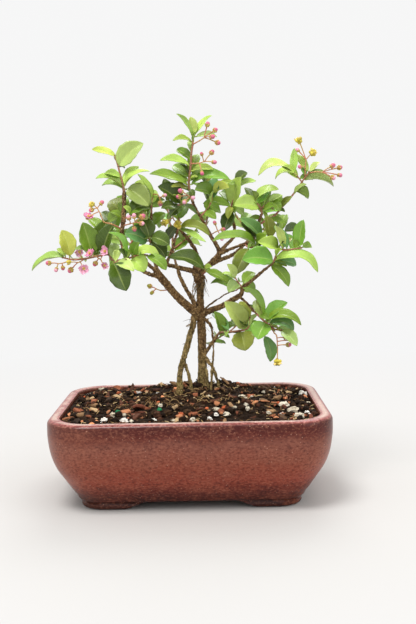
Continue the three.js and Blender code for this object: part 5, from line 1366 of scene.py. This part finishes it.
def arch(half, reach, along_x):
    """The gap between two feet: flat above, with ends that sweep down and out to the table."""
    side = [(half + x, z) for x, z in ARCH_LINE]
    side += [(-x, z) for x, z in reversed(side)]
    ends = [[vec(x, end, z) if along_x else vec(-end, x, z) for x, z in side] for end in (-reach, reach)]
    return solid("gap", ends)


def boolean(piece, other, how):
    cut = piece.modifiers.new(how, "BOOLEAN")
    cut.object = other
    cut.operation = how
    cut.solver = "EXACT"
    apply_modifiers(piece)
    bpy.data.objects.remove(other)


def build_pot():
    body = turned_solid("pot_fine", smooth_profile(OUTER_LINE, 1.4))
    feet = turned_solid("feet", FOOT_LINE)
    for gap in (turned_solid("middle", MIDDLE_LINE), arch(36, 90, True), arch(20, 110, False)):
        boolean(feet, gap, "DIFFERENCE")
    hollow = turned_solid("hollow", smooth_profile(INNER_LINE, 2.0))
    boolean(body, feet, "UNION")
    boolean(body, hollow, "DIFFERENCE")
    for x in (-DRAIN_X, DRAIN_X):
        drill = [[vec(x + DRAIN_RADIUS * cos(a), DRAIN_RADIUS * sin(a), z) for a in circle(40)]
                 for z in (-1, 14)]
        boolean(body, solid("drill", drill), "DIFFERENCE")
    coat(body.data, GLAZE_MATERIAL)
    body.data.set_sharp_from_angle(angle=radians(SHARP_DEGREES))
    claim(body, "pot")


# The potting mix is a crumbly mound under a scatter of bark, clay, perlite, rootlets and feed pellets.
def soil_height(x, y):
    reach = hypot((x - MOUND_MIDDLE[0]) / 78, (y - MOUND_MIDDLE[1]) / 58)
    mound = (MOUND_TOP - SOIL_EDGE) * max(0, 1 - reach) ** 1.1
    return SOIL_EDGE + mound + 0.5 * sin(x * 0.12 + 1) * cos(y * 0.13)


def crumble(x, y):
    """The uneven top of the mix, a little higher behind and round the stems."""
    rise = sum(height * uneven(x * fine, y * fine, layer) for height, fine, layer in SOIL_WAVES)
    heap = 4.2 * exp(-((x - 4) / 50) ** 2 - ((y - 26) / 21) ** 2)
    return (rise + heap) * min(1.0, max(0.0, room_inside(x, y) / 9)) - 0.2


def room_inside(x, y):
    """How far a place is from the pot's inner wall."""
    radius = CORNER_RADIUS - WALL * 0.55
    dx, dy = abs(x) - (POT_WIDTH / 2 - WALL) + radius, abs(y) - (POT_DEPTH / 2 - WALL) + radius
    return radius - hypot(max(dx, 0), max(dy, 0)) - min(max(dx, dy), 0)


def top_at(x, y, rise=0.0):
    return vec(x, y, soil_height(x, y) + crumble(x, y) + rise)


def on_soil(x, z, rise=0.0):
    """The place on the soil that is seen at x, z on the plane y = 0."""
    for y in np.arange(-58, 58, 0.5):
        spot = seen(x, y, z - BIT_RISE)
        if room_inside(spot[0], y) > 1 and spot[2] < soil_height(spot[0], y):
            break
    return vec(spot[0], y, soil_height(spot[0], y) + rise)


DARK_TONES = palette((22, 14, 10), (34, 23, 15), (52, 36, 24), (78, 56, 37))
CHIP_TONES = palette((112, 62, 44), (150, 90, 62), (184, 122, 84), (90, 54, 38), (140, 108, 76),
                     (196, 164, 122), (66, 42, 30))
CLAY_TONES = palette((206, 112, 70), (226, 150, 104), (194, 98, 60))
PALE_TONES = palette((206, 196, 176), (232, 226, 216), (244, 240, 234), (188, 176, 154))
STRAW_TONES = palette((176, 144, 98), (130, 96, 60), (204, 178, 130), (104, 72, 46))
PELLET_TONE = linear(30, 116, 74)
SOIL_WAVES = ((1.3, 0.14, 1), (1.1, 0.45, 5), (0.6, 1.3, 9))
SOIL_LINE = [(11.6, 23.7), (14, 19.7), (24, 13.3), (36, 9.4), (48, 8.4)]
MOUND_STEPS = 64
MOUND_SIDES = 26
BIT_RISE = 1.8
SLAB_SIDES = 7
CRUMBS, CLODS, CHIPS, REAR_CHIPS, CLAY_BITS, PALE_BITS, STRAWS = 1500, 330, 330, 34, 34, 22, 330
ROOTLETS = 95
NEAR_ROOTLETS = 50
ROOTLET_STEPS = 6
CHIP_THICK = 1.9
PELLET_SIZE = 1.6
# Bits that stand out in the photo: where they are seen, their size and the number of their tone.
BIG_CHIPS = [(-34.6, 54.4, 13, 8, 0), (-44.6, 52.4, 8, 6, 2), (-76.5, 54, 9, 5, 1), (-36.9, 47.4, 11, 4, 3),
             (3.2, 62.3, 4, 3, 1), (17.3, 56.4, 6, 4, 2), (-65, 60, 6, 4, 1), (-65.1, 56.4, 5, 4, 4),
             (-48.4, 69, 8, 5, 1), (-8.5, 48.1, 6, 4, 2), (1.5, 50.8, 6, 5, 1), (-75, 50, 6, 4, 4),
             (40, 58, 7, 4, 6), (58, 60, 8, 5, 4), (-12, 54, 7, 3, 5)]
STONES = [(34.3, 60.6, 2.4, 3), (28.6, 67.6, 2.2, 3), (55.2, 67.3, 1.3, 1), (75, 62, 2.7, 1),
          (62.4, 54.9, 2.8, 0), (68.7, 51, 3.4, 3), (72.8, 46.6, 3.0, 0), (78, 49, 2.2, 1),
          (36.9, 56, 1.4, 0), (46.8, 58.8, 1.3, 1), (29.5, 53.8, 1.7, 3), (24, 49.6, 2.0, 0),
          (16.6, 49.3, 1.6, 1), (16.3, 53, 1.9, 3), (61, 48.9, 1.4, 1), (-59.8, 67.5, 2.4, 3),
          (-68.4, 64.4, 1.6, 1), (-59, 46.3, 2.6, 1), (-53.2, 49.7, 2.4, 3), (-12, 45.7, 1.7, 3),
          (12, 45.8, 1.9, 1), (-45.5, 45.9, 2.2, 1), (-25.6, 45.7, 1.9, 1), (0.7, 45.8, 2.1, 0),
          (-26.5, 69.3, 1.6, 1), (52, 50, 1.5, 0)]
PELLETS = [(-49.3, 52.2), (-21.4, 53)]


class Soil:
    """The mound and its loose bits in one mesh, with one run of random draws."""

    def __init__(self):
        self.mesh, self.rng = Mesh(), random.Random(7)

    def mound(self):
        lower = [rounded_ring(z, inset, MOUND_SIDES) for z, inset in SOIL_LINE]
        edge = rounded_ring(SOIL_EDGE, 7.95, MOUND_SIDES)
        middle_x, middle_y = MOUND_MIDDLE
        upper = []
        for k in range(MOUND_STEPS):
            share = 1 - k / MOUND_STEPS
            upper.append([top_at(p[0] * share + middle_x * (1 - share), p[1] * share + middle_y * (1 - share))
                          for p in edge])
        self.mesh.add(*loft(lower + upper), 0, DARK_TONES[1])

    def spots(self, count, margin, low=-59.0, high=59.0):
        """Random places on the soil, at least the margin away from the pot's wall."""
        while count > 0:
            x, y = self.rng.uniform(-80, 80), self.rng.uniform(low, high)
            if room_inside(x, y) > margin:
                count -= 1
                yield x, y

    def shaded(self, tones):
        return dimmed(self.rng.choice(tones), self.rng.uniform(0.7, 1.3))

    def lump(self, centre, size, tone, kind=1, rows=7, sides=10, jag=0.35):
        """An uneven stone-like bit."""
        some = self.rng.uniform
        stretch = vec(some(0.8, 1.25), some(0.8, 1.25), some(0.6, 0.95))
        phase = Vector((some(0, 50), 0, 0))
        points, faces = [], []
        for i in range(rows + 1):
            lat = pi * i / rows
            for lon in circle(sides)[:sides if 0 < i < rows else 1]:
                way = vec(sin(lat) * cos(lon), sin(lat) * sin(lon), -cos(lat))
                bulge = 1 + jag * noise.noise(Vector(way * 1.9) + phase)
                points.append(centre + way * stretch * size * bulge)
        last = len(points) - 1
        for k in range(sides):
            n = (k + 1) % sides
            faces.append([0, 1 + n, 1 + k])
            faces += [[a + k, a + n, a + sides + n, a + sides + k] for a in range(1, last - sides, sides)]
            faces.append([last - sides + k, last - sides + n, last])
        self.mesh.add(points, faces, kind, tone)

    def lumps(self, count, margin, sizes, rise, tones, *look):
        """Scattered bits, raised by a fixed length and by a share of their size."""
        for x, y in self.spots(count, margin):
            size = self.rng.uniform(*sizes)
            self.lump(top_at(x, y, rise[0] + size * rise[1]), size, self.shaded(tones), *look)

    def slab(self, x, y, long, wide, thick, tone, steep=0.4):
        """A flat, broken piece of bark."""
        some = self.rng.uniform
        turn, tilt, roll = some(0, 6.3), some(-steep, steep), some(-0.5, 0.5)
        along = unit(vec(cos(turn), sin(turn), tilt))
        side = unit(vec(-sin(turn), cos(turn), roll))
        over = np.cross(along, side)
        centre = top_at(x, y) + vec(0, 0, thick * 0.4 + abs(tilt) * long * 0.3)
        shape = [some(0.62, 1.15) for _ in range(SLAB_SIDES)]
        points = []
        for level, inset in ((-1, 0.9), (0, 1.0), (1, 0.86)):
            for angle, reach in zip(circle(SLAB_SIDES), shape):
                box = max(abs(cos(angle)), abs(sin(angle)))
                ring = spin(along * long, side * wide, angle) / 2
                warp = 0.3 * sin(angle * 2 + x)
                points.append(centre + ring * reach * inset / box ** 0.6
                              + over * (level * thick / 2 + warp * thick))
        ends = [list(range(SLAB_SIDES))[::-1], list(range(2 * SLAB_SIDES, 3 * SLAB_SIDES))]
        self.mesh.add(points, ends + band(2, SLAB_SIDES), 1, tone)

    def straws(self):
        rng = self.rng
        for x, y in self.spots(STRAWS, 1.2):
            turn, rise, long = rng.uniform(0, 6.3), rng.uniform(-0.5, 0.5), rng.uniform(0.8, 3.2)
            start = top_at(x, y, 0.7)
            reach = vec(cos(turn), sin(turn), rise) * long
            bend = vec(rng.uniform(-0.4, 0.4), rng.uniform(-0.4, 0.4), 0.3) * long * 0.4
            tube(self.mesh, [start - reach, start + bend, start + reach], [0.2, 0.28, 0.14], 4, 1,
                 rng.choice(STRAW_TONES), step=2.0)

    def rootlets(self):
        rng = self.rng
        for k in range(ROOTLETS):
            spread = 30 if k < NEAR_ROOTLETS else 66
            x, y = rng.gauss(-12, spread * 0.5), rng.gauss(-12, spread * 0.36)
            turn, long = rng.uniform(0, 6.3), rng.uniform(4, 14)
            line = []
            for _ in range(ROOTLET_STEPS):
                turn += rng.uniform(-0.9, 0.9)
                x, y = x + cos(turn) * long / ROOTLET_STEPS, y + sin(turn) * long / ROOTLET_STEPS
                if room_inside(x, y) < 3:
                    break
                line.append(top_at(x, y, rng.uniform(0.6, 2.4)))
            if len(line) > 2:
                thick = rng.uniform(0.1, 0.24)
                tone = mix(linear(120, 88, 54), linear(196, 164, 112), rng.random() ** 1.5)
                tube(self.mesh, line, [thick] * len(line), 5, 1, tone, step=1.4)

    def build(self):
        self.mound()
        rng = self.rng
        self.lumps(CRUMBS, 1.0, (0.5, 1.3), (0, 0.2), DARK_TONES, 0, 4, 6)
        self.lumps(CLODS, 2.4, (1.3, 2.8), (0, 0.25), DARK_TONES + CHIP_TONES[3:4], 0)
        for x, y in self.spots(CHIPS, 3.2):
            long = 2.2 + 6.5 * rng.random() ** 1.7
            self.slab(x, y, long, long * rng.uniform(0.3, 0.65), rng.uniform(0.6, 1.5),
                      self.shaded(CHIP_TONES + DARK_TONES[2:]))
        for x, y in self.spots(REAR_CHIPS, 5.0, 8.0, 46.0):
            self.slab(x, y, rng.uniform(5, 11), rng.uniform(2, 3.5), rng.uniform(0.8, 1.5),
                      self.shaded(DARK_TONES[1:] + CHIP_TONES[3:]), steep=0.8)
        for x, z, long, wide, tone in BIG_CHIPS:
            self.slab(*on_soil(x, z)[:2], long, wide, CHIP_THICK, CHIP_TONES[tone])
        self.lumps(CLAY_BITS, 2.4, (0.8, 1.8), (0.7, 0), CLAY_TONES)
        self.lumps(PALE_BITS, 3.0, (0.8, 1.8), (0, 0.4), PALE_TONES, 1, 7, 10, 0.6)
        for x, z, size, tone in STONES:
            self.lump(on_soil(x, z, size * 0.45), size, PALE_TONES[tone], jag=0.7)
        self.straws()
        for x, z in PELLETS:
            self.lump(on_soil(x, z, 1.2), PELLET_SIZE, PELLET_TONE)
        self.rootlets()
        self.mesh.build("soil_fine", [SOIL_MATERIAL, BIT_MATERIAL], "soil", "potting_mix", smooth=False)


build_wood()
build_hairs()
build_pot()
Soil().build()
for name in ("drain_screen_left", "drain_screen_right"):
    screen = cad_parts[name]
    screen.data.materials.clear()
    screen.data.materials.append(SCREEN_MATERIAL)


# The table, lights and camera, in metres.
TABLE_RADIUS = 6
TABLE_HEIGHT = -0.0002
SENSOR = 36.0
# A light's place, the height that it is aimed at, its size and its power.
LIGHTS = {"key": ((-0.3, -0.5, 1.15), 0.1, 0.5, 12.0), "fill": ((0.8, -0.5, 0.6), 0.12, 0.9, 3.0),
          "back": ((0.1, 0.7, 0.9), 0.12, 0.8, 6.0)}


def build_table():
    ring = [(TABLE_RADIUS * cos(a), TABLE_RADIUS * sin(a), TABLE_HEIGHT) for a in circle(96)]
    faces = [list(range(len(ring)))]
    table_top = show("table", new_mesh("table", np.array(ring) / MM, faces, [FLOOR_MATERIAL]))
    table_top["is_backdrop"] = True


def add_light(name, place, aim, size, power):
    lamp = bpy.data.lights.new(name, "AREA")
    lamp.shape = "DISK"
    lamp.size = size
    lamp.energy = power
    holder = show(name, lamp)
    holder.location = place
    holder.rotation_euler = (Vector((0, 0, aim)) - Vector(place)).to_track_quat("-Z", "Y").to_euler()


def add_camera():
    lens = bpy.data.cameras.new("camera")
    lens.sensor_width = SENSOR
    lens.sensor_fit = "AUTO"
    lens.lens = SENSOR * FOCAL_PIXELS / PHOTO_HEIGHT
    lens.clip_start = 0.01
    camera = show("camera", lens)
    camera.location = Vector(EYE * MM)
    look = Vector((TARGET - EYE) * MM).to_track_quat("-Z", "Y")
    camera.rotation_euler = (look @ Quaternion((0, 0, 1), radians(ROLL_DEGREES))).to_euler()
    bpy.context.scene.camera = camera


build_table()
for name, light in LIGHTS.items():
    add_light(name, *light)
world = bpy.data.worlds.new("studio")
bpy.context.scene.world = world
world.use_nodes = True
sky = world.node_tree.nodes["Background"].inputs
sky[0].default_value = grey(1.0)
sky[1].default_value = WHITE
bpy.context.scene.view_settings.view_transform = "Standard"
add_camera()

boxes = {"cad": CAD_BOX, "shown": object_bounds()}
{key: [list(corner) for corner in box] for key, box in boxes.items()}
